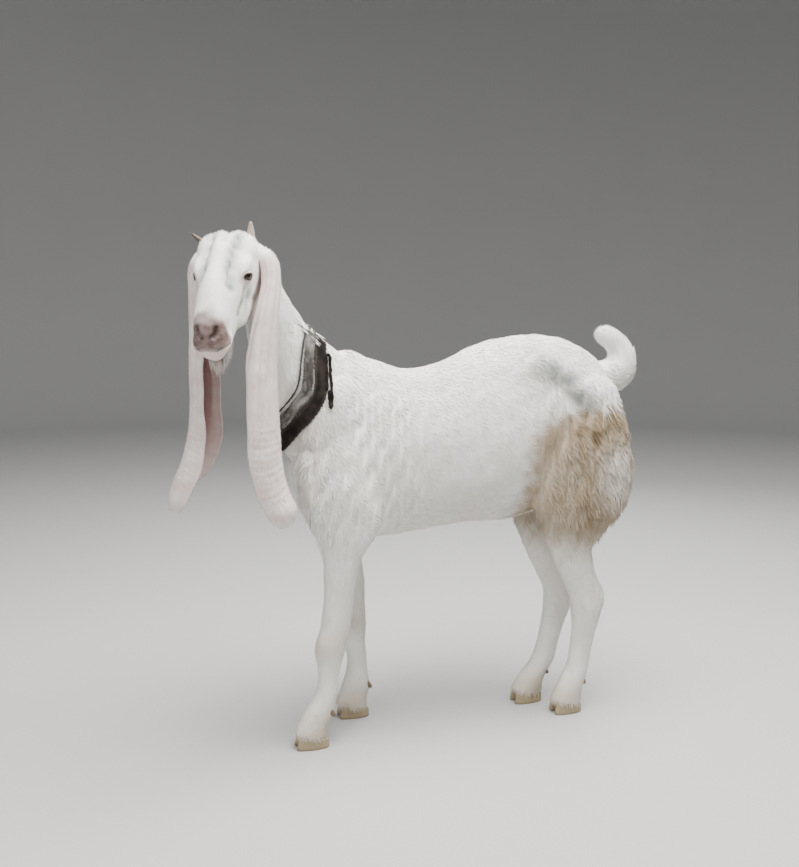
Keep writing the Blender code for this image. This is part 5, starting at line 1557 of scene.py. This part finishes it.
def long_locks(name, weight, length, drawn):
    """Longer hair over one part, whose tips are drawn together into locks."""
    places, normals, corners, way, marks, draw = drawn
    space, lift, width, droop = LONG_COAT[name.split("_")[0]]
    read = scatter(places, corners, weight / space ** 2, draw)
    roots, facing = read(places), unit(read(normals))
    lie = unit(read(way) + np.array([0, 0, -1.0]) * droop)
    if droop < HANGS_FREE:
        lie = laid_along(lie, facing, 0.9)
    size = draw.uniform(0.75, 1.2, len(roots))
    picked = np.arange(0, len(roots), LOCK_SHARE)
    nearest = np.empty(len(roots), dtype=int)
    for start in range(0, len(roots), LOCK_BATCH):
        end = start + LOCK_BATCH
        off = roots[start:end, None] - roots[picked][None]
        nearest[start:end] = (off ** 2).sum(axis=2).argmin(axis=1)
    seed = picked[nearest]
    tips = roots + lie * (length * size)[:, None] + facing * lift
    pull = (tips[seed] - tips) * LOCK_PULL
    reach = np.linalg.norm(pull, axis=1, keepdims=True)
    pull = pull * np.minimum(1.0, 0.6 * length / np.maximum(reach, 1e-9))
    pull = pull + np.array([0, 0, -1.0]) * length * min(droop, 0.6) * 0.35
    kept = {key: read(value) for key, value in marks.items()}
    return tuft_mesh("coat_long_" + name, roots, facing, lie, length * size, width * size, lift * size, 4,
                     chart(name, roots), kept, draw, pull, 0.002, droop >= HANGS_FREE)


def build_coat(skin):
    """Short tufts all over, in pieces, and longer locks on the thighs, tail, chest and chin."""
    setting = bpy.context.scene.goat_coat
    mesh = skin.data
    places, normals, corners = points_of(mesh), normals_of(mesh), triangles_of(mesh)
    way, plan, found, chest = coat_plan(places, normals)
    bare = get_mark(mesh, "bare")
    marks = {name: get_mark(mesh, name) for name in MARKS}
    draw = np.random.default_rng(COAT_SEED)
    read = scatter(places, corners, setting.density * (1 - bare) / plan["space"] ** 2, draw)
    roots, facing = read(places), unit(read(normals))
    lie = laid_along(read(way), facing)
    spot = {key: read(value) for key, value in found.items() if value.ndim == 1}
    sizes = {key: read(value) for key, value in plan.items()}
    kept = {key: read(value) for key, value in marks.items()}
    which = coat_piece(spot, roots)
    vary = draw.uniform(0.78, 1.25, len(roots))
    made = []
    for index, piece in enumerate(COAT_PIECES):
        mask = which == index
        uv = chart(piece, roots[mask], {key: value[mask] for key, value in spot.items()})
        made.append(tuft_mesh("coat_" + piece, roots[mask], facing[mask], lie[mask],
                              (sizes["length"] * vary * setting.length)[mask], (sizes["width"] * vary)[mask],
                              (sizes["lift"] * vary * setting.lift)[mask], 2, uv,
                              {key: value[mask] for key, value in kept.items()}, draw))
    drawn = (places, normals, corners, way, marks, draw)
    x, y, z = places.T
    shag = found["thigh"] * fade(x, 0.19, 0.27) * fade(z, 0.745, 0.7) * fade(np.abs(y), 0.015, 0.035)
    plume = found["tail"] * fade(found["tail_down"], 0.8, 0.72)
    mane = found["neck"] * fade(x, -0.356, -0.346) * fade(x, -0.306, -0.314) * fade(np.abs(y), 0.034, 0.022)
    mane = mane * fade(z, 0.87, 0.89)
    local = head_places(places)
    chin = found["head"] * fade(local[:, 1], -0.062, -0.072) * fade(local[:, 0], 0.075, 0.095)
    chin = chin * fade(local[:, 0], 0.146, 0.136) * fade(np.abs(local[:, 2]), 0.024, 0.016)
    for piece, weight, length in (("thigh_left", shag * (y < 0), setting.thigh_length),
                                  ("thigh_right", shag * (y > 0), setting.thigh_length),
                                  ("tail", plume, setting.tail_length),
                                  ("neck", mane, MANE_LENGTH),
                                  ("head", chin, setting.beard_length),
                                  ("back_left", chest * (y < 0), CHEST_LENGTH),
                                  ("back_right", chest * (y >= 0), CHEST_LENGTH)):
        made.append(long_locks(piece, weight, length, drawn))
    finish = coat_material()
    for thing in made:
        thing.data.materials.append(finish)
        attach(thing, BODY)


# Eyes, horns and hooves

EYE_RINGS = 40
EYE_POINTS = 64
CORNEA_RISE = 0.0009
HORN_RINGS = 64
HORN_POINTS = 36
HORN_RIDGES = 9
HOOF_POINTS = 56
# Height in the wall and size of each slice, from the worn edge of the sole to the coronet
HOOF_EDGE = ((0.0, 0.9), (0.03, 0.945), (0.07, 0.97), (0.12, 0.985))
HOOF_LEVELS = 22
DEWCLAW_RINGS = 24
DEWCLAW_POINTS = 28
DEWCLAW_WEAR = 0.8


def claw_name(kind, foot, inner):
    return kind + "_" + foot + ("_inner" if inner else "_outer")


def build_eye(side):
    """An eyeball with its clear front slightly raised."""
    centre, out, length, height = eye_frame(1 if side == "left" else -1)
    angles = np.linspace(0.01, math.pi - 0.01, EYE_RINGS)
    radius = EYE_RADIUS + CORNEA_RISE * np.exp(-(angles / 0.62) ** 4)
    flat = (radius * np.sin(angles))[:, None]
    a, b = flat * np.cos(turns(EYE_POINTS)), flat * np.sin(turns(EYE_POINTS))
    c = np.repeat((radius * np.cos(angles))[:, None], EYE_POINTS, axis=1)
    rings = centre + a[..., None] * length + b[..., None] * height + c[..., None] * out
    spoke = np.tile(turns(EYE_POINTS), EYE_RINGS)
    return solid("eyeball_" + side, loft(rings), across=a / EYE_RADIUS, upward=b / EYE_RADIUS,
                 front=c / EYE_RADIUS, spoke_x=0.3 * np.cos(spoke), spoke_y=0.3 * np.sin(spoke))


def tube_rings(path, radii, points, start):
    """Rings round a path; start is any direction that isn't along it."""
    way = ways_along(path)
    side = unit(np.cross(way, start))
    other = np.cross(side, way)
    angle = turns(points)[None, :, None]
    return path[:, None, :] + radii[..., None] * (side[:, None, :] * np.cos(angle)
                                                  + other[:, None, :] * np.sin(angle))


def build_horn(side):
    """A small bent horn with low rings of growth."""
    root, way, length = Vector(HORN_ROOTS[side]), Vector(HORN_WAYS[side]).normalized(), HORN_LENGTHS[side]
    t = np.linspace(0.0, 1.0, HORN_RINGS)
    path = np.array([head_point(root + way * length * ((1 + HORN_SINK) * k - HORN_SINK)
                                + Vector(HORN_BOW) * length * k * k) for k in t])
    ridge = 0.055 * np.sin(t * HORN_RIDGES * 2 * math.pi + 0.8 * np.sin(t * 9)) * (1 - t) ** 0.5
    radii = HORN_RADII[side] * (1 - HORN_TAPER * t ** 2.2) * (1 + ridge) * np.sqrt(1 - fade(t, 0.93, 1.06))
    dents = 1 + 0.05 * np.sin(turns(HORN_POINTS) * 3 + 1.0)[None, :] * (1 - t)[:, None]
    rings = tube_rings(path, radii[:, None] * dents, HORN_POINTS, ALONG)
    around = np.tile(turns(HORN_POINTS), HORN_RINGS)
    return solid("fine_horn_" + side, loft(rings), along=np.repeat(t, HORN_POINTS),
                 around_x=0.05 * np.cos(around), around_y=0.05 * np.sin(around))


def build_hoof(foot, inner):
    """One claw with its worn edge, rings of growth and rounded coronet."""
    x, y, turn = FEET[foot]
    way = 1 if y > 0 else -1
    toe = np.array([-math.cos(turn), math.sin(turn) * way, 0.0])
    side = np.array([0.0, -1.0 if (y > 0) == inner else 1.0, 0.0])
    side = unit(side - toe * (side @ toe))
    width = (HOOF_WIDTH - CLEFT) / 2
    middle, fall = (CORONET_TOE + CORONET_HEEL) / 2, (CORONET_TOE - CORONET_HEEL) / HOOF_LENGTH
    draw = np.random.default_rng(sum(ord(letter) for letter in foot) + inner)
    phase = draw.uniform(0, 2 * math.pi, 4)
    levels = list(HOOF_EDGE) + [(t, 1.0) for t in np.linspace(0.18, 0.94, HOOF_LEVELS)] + [(1.0, 0.965)]
    cos, sin = np.cos(turns(HOOF_POINTS)), np.sin(turns(HOOF_POINTS))
    a = np.sign(cos) * np.abs(cos) ** 0.8
    b = np.sign(sin) * np.abs(sin) ** 0.7
    rings = []
    for t, size in levels:
        ridge = 0.006 * math.sin(t * 44 + phase[0]) + 0.004 * math.sin(t * 95 + phase[1])
        chips = 0.016 * (1 - fade(t, 0.0, 0.25)) * np.sin(turns(HOOF_POINTS) * 7 + phase[2])
        spread = size * (1.0 - 0.1 * t) * (1 + (ridge + chips) * (a > -0.6))
        forward = a * HOOF_LENGTH / 2 * spread - HOOF_LEAN * t
        narrow = 1.0 - 0.28 * np.maximum(0.0, a)
        outwards = CLEFT / 2 + width / 2 + b * width / 2 * narrow * spread
        outwards = np.maximum(outwards, CLEFT / 2 * (1 + 0.6 * t))
        top = middle + fall * forward
        rings.append(np.array([x, y, 0.0]) + forward[:, None] * toe + outwards[:, None] * side
                     + (top * t)[:, None] * np.array([0.0, 0.0, 1.0]))
    heights = np.repeat([t for t, size in levels], HOOF_POINTS)
    return solid(claw_name("claw", foot, inner), loft(rings), level=heights)


def build_dewclaw(end, side, inner):
    """A small blunt claw behind the pastern."""
    back, beside, up = DEWCLAWS[end]
    x, y = FEET[end + "_left"][0], FEET[end + "_" + side][1]
    if side == "right":
        x += float(np.interp(up, *zip(*(RIGHT_FORE_SHIFT if end == "fore" else RIGHT_HIND_SHIFT))))
    out = 1 if (y < 0) == inner else -1
    place = Vector((x + back, y + beside * out, up))
    root = place + DEWCLAW_ROOT
    tip = root.lerp(place + DEWCLAW_TIP * Vector((1.0, out, 1.0)), DEWCLAW_WEAR)
    t = np.linspace(0.0, 1.0, DEWCLAW_RINGS)
    path = np.array([root.lerp(tip, k) for k in t])
    stops, sizes = zip(*DEWCLAW_RADII)
    radii = np.interp(t, stops, sizes) * (1 + 0.03 * np.sin(t * 40)) * np.sqrt(1 - fade(t, 0.9, 1.08))
    rings = tube_rings(path, radii[:, None] * np.ones(DEWCLAW_POINTS), DEWCLAW_POINTS, (0.0, 1.0, 0.0))
    name = claw_name("fine_dewclaw", end + "_" + side, inner)
    return solid(name, loft(rings), level=np.repeat(1 - t, DEWCLAW_POINTS))


# The collar

LOOP_STEPS = 260
LOOP_LIFT = 0.0012
WEB_POINTS = 10
# How far the strap and the band stand off in waves and in creases
STRAP_WAVE = 0.0005
STRAP_CRUMPLE = 0.0004
STRAP_SEED = 41
BAND_WAVE = 0.0008
BAND_CRUMPLE = 0.0044
BAND_SEED = 42
CORD_POINTS = 18
CORD_TWIST = 0.014
KNOT_RINGS = 40
KNOT_POINTS = 26
# The strap's spare end: the angle of its top, its radius and points, and how far off the strap's rear edge
# its two runs lie
SPARE_TOP = math.radians(331)
SPARE_RADIUS = 0.0031
SPARE_OFFSETS = (0.001, -0.0075)
SPARE_POINTS = 16


def neck_tree():
    """The neck and shoulders, without ears, to lay the collar on."""
    points, faces = merged([trunk_form(), neck_form()] + body_masses())
    return BVHTree.FromPolygons(points.tolist(), faces)


def loop_place(tree, loop, angle, offset):
    """A point inside the neck on a loop's plane, the way out, and the reach to the loop's inner face."""
    high, low, width, thickness, slack, sweep = loop
    upward = (high - low).normalized()
    along = Vector((-upward.z, 0.0, upward.x))
    out = upward * math.cos(angle) + Vector((0, 1, 0)) * math.sin(angle)
    middle = high + upward * (BELT_AXIS - high).dot(upward)
    middle += along * (offset + sweep * math.sin(angle) ** 2)
    reach = BELT_START - tree.ray_cast(middle + out * BELT_START, -out)[3]
    return middle, out, reach + LOOP_LIFT + slack * max(0.0, -math.cos(angle)) ** 2


def loop_lanes(tree, loop, lanes):
    """Points on a loop's inner face and the ways out, for each step round and each lane across."""
    inner = np.empty((LOOP_STEPS, len(lanes), 3))
    out = np.empty((LOOP_STEPS, len(lanes), 3))
    for k, lane in enumerate(lanes):
        reach = []
        for i, angle in enumerate(turns(LOOP_STEPS)):
            middle, way, far = loop_place(tree, loop, float(angle), loop[2] * lane)
            inner[i, k], out[i, k] = middle, way
            reach.append(far)
        reach = np.array(reach)
        for _ in range(6):
            reach = (np.roll(reach, 1) + 2 * reach + np.roll(reach, -1)) / 4
        inner[:, k] += out[:, k] * reach[:, None]
    return inner, out


def web_loop(name, tree, loop, wave, crumple, seed):
    """A closed band of webbing: rounded edges, slight waves along it and frayed sides."""
    thickness = loop[3]
    lanes = np.linspace(-0.5, 0.5, WEB_POINTS)
    inner, out = loop_lanes(tree, loop, lanes)
    round_at = turns(LOOP_STEPS)
    draw = np.random.default_rng(seed)
    phase = draw.uniform(0, 2 * math.pi, 8)
    lift = wave * (np.sin(round_at * 7 + phase[0]) + 0.6 * np.sin(round_at * 13 + phase[1]))[:, None]
    folds = np.zeros((LOOP_STEPS, WEB_POINTS))
    for i in range(5):
        sway = 1.8 * np.sin(round_at * (3 + 2 * i) + phase[i])[:, None]
        folds += np.sin(lanes * (5 + 3 * i) + phase[i + 2] + sway)
    surface = np.maximum(lift, 0.0) + crumple * (0.5 + 0.25 * folds)
    inner = inner + out * np.maximum(surface, 0.0)[..., None]
    across = unit(inner[:, -1] - inner[:, 0])
    rear = 0.0007 * np.sin(round_at * 61 + phase[6]) + 0.0006 * np.sin(round_at * 97 + phase[7])
    front = 0.0006 * np.sin(round_at * 71 + phase[3])
    inner[:, 0] -= across * (rear + 0.0004 * draw.normal(size=LOOP_STEPS))[:, None]
    inner[:, -1] += across * (front + 0.0004 * draw.normal(size=LOOP_STEPS))[:, None]
    full = np.sqrt(np.clip(1 - np.abs(2 * lanes) ** 6, 0.06, 1.0))
    ridge = 0.0003 * np.cos(lanes * 2 * math.pi * 2.5)
    outer = inner + out * (thickness * (0.35 + 0.65 * full) + ridge)[None, :, None]
    far = np.linalg.norm(np.diff(outer[:, WEB_POINTS // 2], axis=0), axis=1).mean() * np.arange(LOOP_STEPS)
    strip = np.concatenate([lanes, lanes[::-1]])
    return solid(name, loft(np.concatenate([inner, outer[:, ::-1]], axis=1), closed=True),
                 along=np.repeat(far, WEB_POINTS * 2), across=np.tile(strip * loop[2], LOOP_STEPS),
                 edge=np.tile(strip * 2, LOOP_STEPS))


def cord_loop(tree):
    """A thin twisted cord: three strands laid round each other, as one closed tube."""
    inner, out = loop_lanes(tree, CORD, (0.0,))
    path = inner[:, 0] + out[:, 0] * CORD[3] / 2
    side = out[:, 0]
    other = unit(np.cross(unit(np.roll(path, -1, axis=0) - np.roll(path, 1, axis=0)), side))
    far = np.linalg.norm(np.diff(path, axis=0), axis=1).mean() * np.arange(LOOP_STEPS)
    twist = 2 * math.pi * np.round(far[-1] / CORD_TWIST) * np.arange(LOOP_STEPS) / LOOP_STEPS
    angle, round_at = turns(CORD_POINTS)[None, :], turns(LOOP_STEPS)
    radius = CORD[3] / 2 * (0.94 + 0.16 * np.cos(3 * (angle - twist[:, None] / 3)))
    radius = radius * (1 + 0.1 * np.sin(round_at * 9) + 0.07 * np.sin(round_at * 23))[:, None]
    rings = path[:, None] + radius[..., None] * (side[:, None] * np.cos(angle)[..., None]
                                                 + other[:, None] * np.sin(angle)[..., None])
    return solid("thin_cord", loft(rings, closed=True), along=np.repeat(far, CORD_POINTS),
                 around=np.tile(turns(CORD_POINTS), LOOP_STEPS))


def spare_loop(tree):
    """The strap's spare end, doubled back along the strap's rear edge: points and faces."""
    nearer, farther = SPARE_OFFSETS
    up = [(a, nearer) for a in np.linspace(KNOT_ANGLE, SPARE_TOP, 9)]
    back = [(a, farther) for a in np.linspace(SPARE_TOP, KNOT_ANGLE, 9)]
    rows = []
    for angle, offset in up + [(SPARE_TOP + 0.045, (nearer + farther) / 2)] + back:
        middle, out, reach = loop_place(tree, STRAP, float(angle), offset - STRAP[2] / 2)
        rows.append(tuple(middle + out * (reach + SPARE_RADIUS)))
    path = smooth_rows(rows, 0.0025)
    t = np.linspace(0.0, 1.0, len(path))
    lumps = 1 + 0.1 * np.sin(t * 37) + 0.07 * np.sin(t * 91)
    angle = turns(SPARE_POINTS)[None, :]
    radii = SPARE_RADIUS * lumps[:, None] * (1 + 0.13 * np.sin(3 * angle + t[:, None] * 40))
    return loft(tube_rings(path, radii, SPARE_POINTS, (0.0, 1.0, 0.2)))


def strap_knot(tree):
    """The strap's end, doubled behind the strap, knotted, and frayed below the knot, on its left side."""
    width = STRAP[2]
    middle, out, reach = loop_place(tree, STRAP, KNOT_ANGLE, -width / 2 - KNOT_RADII[1] * 0.7)
    start = middle + out * (reach + KNOT_OFF_SKIN - LOOP_LIFT)
    t = np.linspace(0.0, 1.0, KNOT_RINGS)
    path = []
    for k in t:
        hang = start - Vector((0, 0, 1)) * KNOT_LENGTH * float(k)
        near = tree.find_nearest(hang)[0]
        path.append(near + (hang - near).normalized() * KNOT_OFF_SKIN)
    path = np.array(path)
    radii = np.interp(t, np.linspace(0, 1, len(KNOT_RADII)), KNOT_RADII)
    angle = turns(KNOT_POINTS)[None, :]
    folds = 0.16 * np.sin(2 * angle + t[:, None] * 9) * fade(t, 0.05, 0.3)[:, None]
    folds = folds + 0.1 * np.sin(5 * angle - t[:, None] * 21)
    rings = tube_rings(path, radii[:, None] * (1 + folds), KNOT_POINTS, (1.0, 0.0, 0.0))
    spare = spare_loop(tree)
    more = np.arange(len(spare[0]))
    return solid("knotted_end", merged([loft(rings), spare]),
                 along=np.append(np.repeat(t * KNOT_LENGTH, KNOT_POINTS), more * 0.0002),
                 across=np.append(np.tile(turns(KNOT_POINTS) * 0.005, KNOT_RINGS), more * 0.003),
                 edge=np.append(np.repeat(t, KNOT_POINTS), np.full(len(more), 0.3)))


def keep(thing, material, slot, *nodes):
    """Finishes a piece, lets it ride on the animal and stand for its nodes."""
    thing.data.materials.clear()
    thing.data.materials.append(material)
    thing.data.shade_smooth()
    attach(thing, BODY)
    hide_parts(*nodes)


# What a user would change

def shade_of(name, description, default):
    return FloatVectorProperty(name=name, description=description, default=default, size=3, min=0.0, max=1.0,
                               subtype="COLOR")


def length_of(name, description, default):
    return FloatProperty(name=name, description=description, default=default, min=0.0, unit="LENGTH",
                         precision=4)


def share_of(name, description, default):
    return FloatProperty(name=name, description=description, default=default, min=0.0, max=3.0,
                         subtype="FACTOR")


def power_of(name, description, default):
    return FloatProperty(name=name, description=description, default=default, min=0.0, unit="POWER")


class GoatLook(bpy.types.PropertyGroup):
    """Colours of the animal and of what it wears."""
    white: shade_of("White", "Most of the coat", (0.9, 0.885, 0.85))
    white_shade: shade_of("White, shaded", "Faint patches in the white", (0.82, 0.79, 0.73))
    # Tan of the thighs, darkened with painted shade
    tan: shade_of("Tan", "The thighs", (0.33, 0.238, 0.136))
    # Brown streaks in the tan, and painted shade low on the thigh and in a fold of its locks
    brown: shade_of("Brown", "Streaks in the tan", (0.15, 0.1, 0.055))
    soil: shade_of("Soiled", "Knees, hocks and feet", (0.5, 0.38, 0.24))
    # Painted shade in the hollows of the face and hip, and the grey tuft of the crest
    grey: shade_of("Grey", "Hollows of the face and hip", (0.22, 0.245, 0.23))
    pink: shade_of("Pink", "Thinly haired ears", (0.6, 0.45, 0.425))
    # Red of the inside of the ears, darkened with painted shade in the trough of the roll
    raw: shade_of("Raw", "Inside of the ears", (0.22, 0.06, 0.058))
    muzzle: shade_of("Muzzle", "Bare skin of the nose", (0.115, 0.062, 0.054))
    # Painted shade of the nostrils, the mouth's groove and the lid openings
    crease_shade: shade_of("Crease", "Darkening of holes and rims", (0.1, 0.07, 0.06))
    iris: shade_of("Iris", "Darker part of the iris", (0.01, 0.006, 0.004))
    iris_light: shade_of("Iris, light", "Lighter streaks of the iris", (0.035, 0.018, 0.008))
    horn: shade_of("Horn", "Pale horn", (0.62, 0.55, 0.48))
    horn_shade: shade_of("Horn, shaded", "Grooves of the horn", (0.4, 0.31, 0.24))
    horn_dark: shade_of("Horn, dark", "The right horn and the tips", (0.035, 0.024, 0.017))
    hoof: shade_of("Hoof", "Yellowish wall of the hoof", (0.5, 0.42, 0.25))
    hoof_shade: shade_of("Hoof, shaded", "Rings of growth", (0.33, 0.26, 0.15))
    # The claws' dark colour is partly painted shade behind the pastern
    dewclaw: shade_of("Dewclaw", "The claws behind the pastern", (0.14, 0.095, 0.065))
    hoof_dark: shade_of("Hoof, dark", "Dirt and the worn edge", (0.16, 0.11, 0.07))
    strap: shade_of("Strap", "Dark webbing", (0.006, 0.0045, 0.004))
    strap_worn: shade_of("Strap, worn", "Dusty webbing", (0.026, 0.019, 0.015))
    strap_edge: shade_of("Strap, edge", "Frayed threads", (0.08, 0.066, 0.054))
    band: shade_of("Band", "Washed-out cloth", (0.27, 0.26, 0.245))
    # Grease, dust and painted shade in the folds of the cloth
    band_stain_and_shade: shade_of("Band, stained", "Grease and dust", (0.075, 0.068, 0.058))
    cord: shade_of("Cord", "Black cord", (0.012, 0.012, 0.013))
    cord_worn: shade_of("Cord, worn", "Its rubbed fibres", (0.06, 0.055, 0.052))
    floor: shade_of("Floor", "The stage", (0.46, 0.455, 0.447))
    floor_shade: shade_of("Floor, shaded", "Faint clouds in the stage", (0.43, 0.425, 0.417))


class GoatCoat(bpy.types.PropertyGroup):
    """Sizes of the coat."""
    depth: length_of("Depth", "How far the skin lies below the outline", 0.002)
    density: share_of("Density", "How close the tufts stand", 1.0)
    length: share_of("Length", "Length of the short coat", 1.0)
    lift: share_of("Lift", "How far the tufts stand off", 1.0)
    thigh_length: length_of("Thigh hair", "Length of the shaggy hair", 0.028)
    tail_length: length_of("Tail hair", "Length of the tail's hair", 0.021)
    beard_length: length_of("Beard", "Length of the chin's hair", 0.03)


class GoatStage(bpy.types.PropertyGroup):
    """The camera and the lights."""
    lens: FloatProperty(name="Lens", description="Focal length in mm, for a 36 mm high frame", default=37.37,
                        min=1.0, subtype="DISTANCE_CAMERA")
    key: power_of("Key", "Power of the soft light from above", 370.0)
    fill: power_of("Fill", "Power of the light from the left", 34.0)
    rim: power_of("Rim", "Power of the light from behind", 26.0)
    sky: share_of("Sky", "Brightness all round", 0.34)


# The pieces

class GOAT_OT_skin(bpy.types.Operator):
    """Makes one skin over the head, neck, body, legs, tail and ears"""
    bl_idname = "goat.skin"
    bl_label = "Skin"

    def execute(self, context):
        body = build_flesh()
        finer(body, head_point(FINE_HEAD[0]), FINE_HEAD[1])
        for side in (1, -1):
            finer(body, eye_frame(side)[0], FINE_EYE)
        finer(body, head_point(FINE_NOSE[0]), FINE_NOSE[1])
        shape_body(body, context.scene.goat_coat.depth)
        shape_head(body)
        add_ears(body)
        mark_skin(body)
        nodes = [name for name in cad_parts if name.split("_")[0] in
                 ("head", "neck", "torso", "tail", "foreleg", "hindleg", "thigh", "ear")]
        keep(body, skin_material(), "coat", *nodes)
        return {"FINISHED"}


class GOAT_OT_coat(bpy.types.Operator):
    """Covers the skin with tufts that lie along the body"""
    bl_idname = "goat.coat"
    bl_label = "Coat"

    def execute(self, context):
        build_coat(bpy.data.objects["skin"])
        return {"FINISHED"}


class GOAT_OT_eyes(bpy.types.Operator):
    """Sets the eyeballs into their sockets"""
    bl_idname = "goat.eyes"
    bl_label = "Eyes"

    def execute(self, context):
        finish = eye_material()
        for side in ("left", "right"):
            keep(build_eye(side), finish, "eye", "eye_" + side)
        return {"FINISHED"}


class GOAT_OT_horns(bpy.types.Operator):
    """Makes the two small horns"""
    bl_idname = "goat.horns"
    bl_label = "Horns"

    def execute(self, context):
        look = context.scene.goat_look
        pale = horn_material("goat_horn_pale", look.horn, look.horn_shade)
        dark = horn_material("goat_horn_dark", look.horn_dark, look.hoof_dark)
        for side, finish in (("left", pale), ("right", dark)):
            keep(build_horn(side), finish, "horn", "horn_" + side)
        return {"FINISHED"}


class GOAT_OT_hooves(bpy.types.Operator):
    """Makes the claws of the cloven hooves and the dewclaws above them"""
    bl_idname = "goat.hooves"
    bl_label = "Hooves"

    def execute(self, context):
        look = context.scene.goat_look
        finish = hoof_material("goat_hoof", look.hoof, look.hoof_shade)
        small = hoof_material("goat_dewclaw", look.dewclaw, look.hoof_dark)
        for foot in FEET:
            for inner in (False, True):
                keep(build_hoof(foot, inner), finish, "hoof", claw_name("hoof", foot, inner))
        for foot in FEET:
            for inner in (False, True):
                keep(build_dewclaw(*foot.split("_"), inner), small, "hoof", claw_name("dewclaw", foot, inner))
        return {"FINISHED"}


class GOAT_OT_collar(bpy.types.Operator):
    """Lays the strap, the cloth band and the cord round the neck"""
    bl_idname = "goat.collar"
    bl_label = "Collar"

    def execute(self, context):
        tree = neck_tree()
        webbing = strap_material()
        strap = web_loop("worn_strap", tree, STRAP, STRAP_WAVE, STRAP_CRUMPLE, STRAP_SEED)
        keep(strap, webbing, "collar_strap", "collar_strap")
        band = web_loop("cloth_band", tree, BAND, BAND_WAVE, BAND_CRUMPLE, BAND_SEED)
        keep(band, band_material(), "collar_band", "collar_band")
        keep(cord_loop(tree), cord_material(), "collar_cord", "collar_cord")
        keep(strap_knot(tree), webbing, "collar_strap", "collar_knot")
        return {"FINISHED"}


class GOAT_OT_stage(bpy.types.Operator):
    """Sets up the floor, the lights and the camera"""
    bl_idname = "goat.stage"
    bl_label = "Stage"

    def execute(self, context):
        build_stage(context.scene)
        return {"FINISHED"}


# The stage

FLOOR_START = 0.02
FLOOR_RADIUS = 6.5
BOWL_CURVE = 2.2
BOWL_HEIGHT = 4.6
BOWL_STEPS = 14
BOWL_POINTS = 96
CAMERA_PLACE = Vector((-0.616, -1.886, 0.893))
CAMERA_YAW = math.radians(14.9)
CAMERA_DROP = math.radians(6.81)
FRAME_HEIGHT = 36.0
AIM = Vector((0.0, 0.0, 0.55))
SKY_COLOUR = (0.94, 0.97, 1.0, 1.0)
# The lights: place, width and height, and colour
LIGHTS = {
    "key": ((0.3, -0.5, 3.2), (2.6, 2.2), (1.0, 0.985, 0.96)),
    "fill": ((-2.4, -1.9, 1.5), (1.8, 1.6), (1.0, 0.98, 0.95)),
    "rim": ((1.4, 2.2, 1.9), (1.6, 1.2), (0.95, 0.98, 1.0)),
}


def area_light(name, place, size, colour, power):
    light = bpy.data.lights.new(name, "AREA")
    light.shape = "RECTANGLE"
    light.size, light.size_y = size
    light.energy = power
    light.color = colour
    lamp = placed(name, light)
    lamp.location = place
    lamp.rotation_euler = (AIM - Vector(place)).to_track_quat("-Z", "Y").to_euler()


def build_stage(scene):
    stage = scene.goat_stage
    bend = np.linspace(0.0, math.pi / 2, BOWL_STEPS)
    profile = [(FLOOR_RADIUS + BOWL_CURVE * math.sin(a), BOWL_CURVE * (1 - math.cos(a))) for a in bend]
    profile = [(FLOOR_START, 0.0), *profile, (FLOOR_RADIUS + BOWL_CURVE, BOWL_HEIGHT)]
    cos, sin = np.cos(turns(BOWL_POINTS)), np.sin(turns(BOWL_POINTS))
    rings = [np.stack([r * cos, r * sin, np.full(BOWL_POINTS, z)], axis=1) for r, z in profile]
    points, faces = loft(rings)
    ground = new_object("stage_floor", points - np.array(SHIFT), faces[:-1])
    ground.data.materials.append(floor_material())
    ground.data.shade_smooth()
    world = bpy.data.worlds.new("studio")
    world.use_nodes = True
    sky = world.node_tree.nodes["Background"]
    sky.inputs["Color"].default_value = SKY_COLOUR
    sky.inputs["Strength"].default_value = stage.sky
    scene.world = world
    for name, light in LIGHTS.items():
        area_light(name, *light, getattr(stage, name))
    camera = bpy.data.cameras.new("camera")
    camera.sensor_fit = "VERTICAL"
    camera.sensor_height = FRAME_HEIGHT
    camera.lens = stage.lens
    camera.clip_end = 60.0
    eye = placed("camera", camera)
    eye.location = CAMERA_PLACE + SHIFT
    eye.rotation_euler = (math.pi / 2 - CAMERA_DROP, 0.0, -CAMERA_YAW)
    scene.camera = eye


class GOAT_PT_panel(bpy.types.Panel):
    """Lists the sizes and colours, and the pieces in the order in which they are made"""
    bl_idname = "GOAT_PT_panel"
    bl_label = "Long-eared goat"
    bl_space_type = "VIEW_3D"
    bl_region_type = "UI"
    bl_category = "Goat"

    def draw(self, context):
        scene = context.scene
        for group in (scene.goat_coat, scene.goat_look, scene.goat_stage):
            box = self.layout.box()
            for name in group.__annotations__:
                box.prop(group, name)
        for operator in OPERATORS:
            self.layout.operator(operator.bl_idname)


GROUPS = {"goat_look": GoatLook, "goat_coat": GoatCoat, "goat_stage": GoatStage}
OPERATORS = (GOAT_OT_skin, GOAT_OT_coat, GOAT_OT_eyes, GOAT_OT_horns, GOAT_OT_hooves, GOAT_OT_collar,
             GOAT_OT_stage)


def register():
    for kind in (*GROUPS.values(), *OPERATORS, GOAT_PT_panel):
        bpy.utils.register_class(kind)
    for name, kind in GROUPS.items():
        setattr(bpy.types.Scene, name, PointerProperty(type=kind))


def unregister():
    for name in GROUPS:
        delattr(bpy.types.Scene, name)
    for kind in (GOAT_PT_panel, *reversed(OPERATORS), *GROUPS.values()):
        bpy.utils.unregister_class(kind)


def main():
    register()
    bpy.ops.goat.skin()
    bpy.ops.goat.coat()
    bpy.ops.goat.eyes()
    bpy.ops.goat.horns()
    bpy.ops.goat.hooves()
    bpy.ops.goat.collar()
    bpy.ops.goat.stage()


if __name__ == "__main__":
    main()
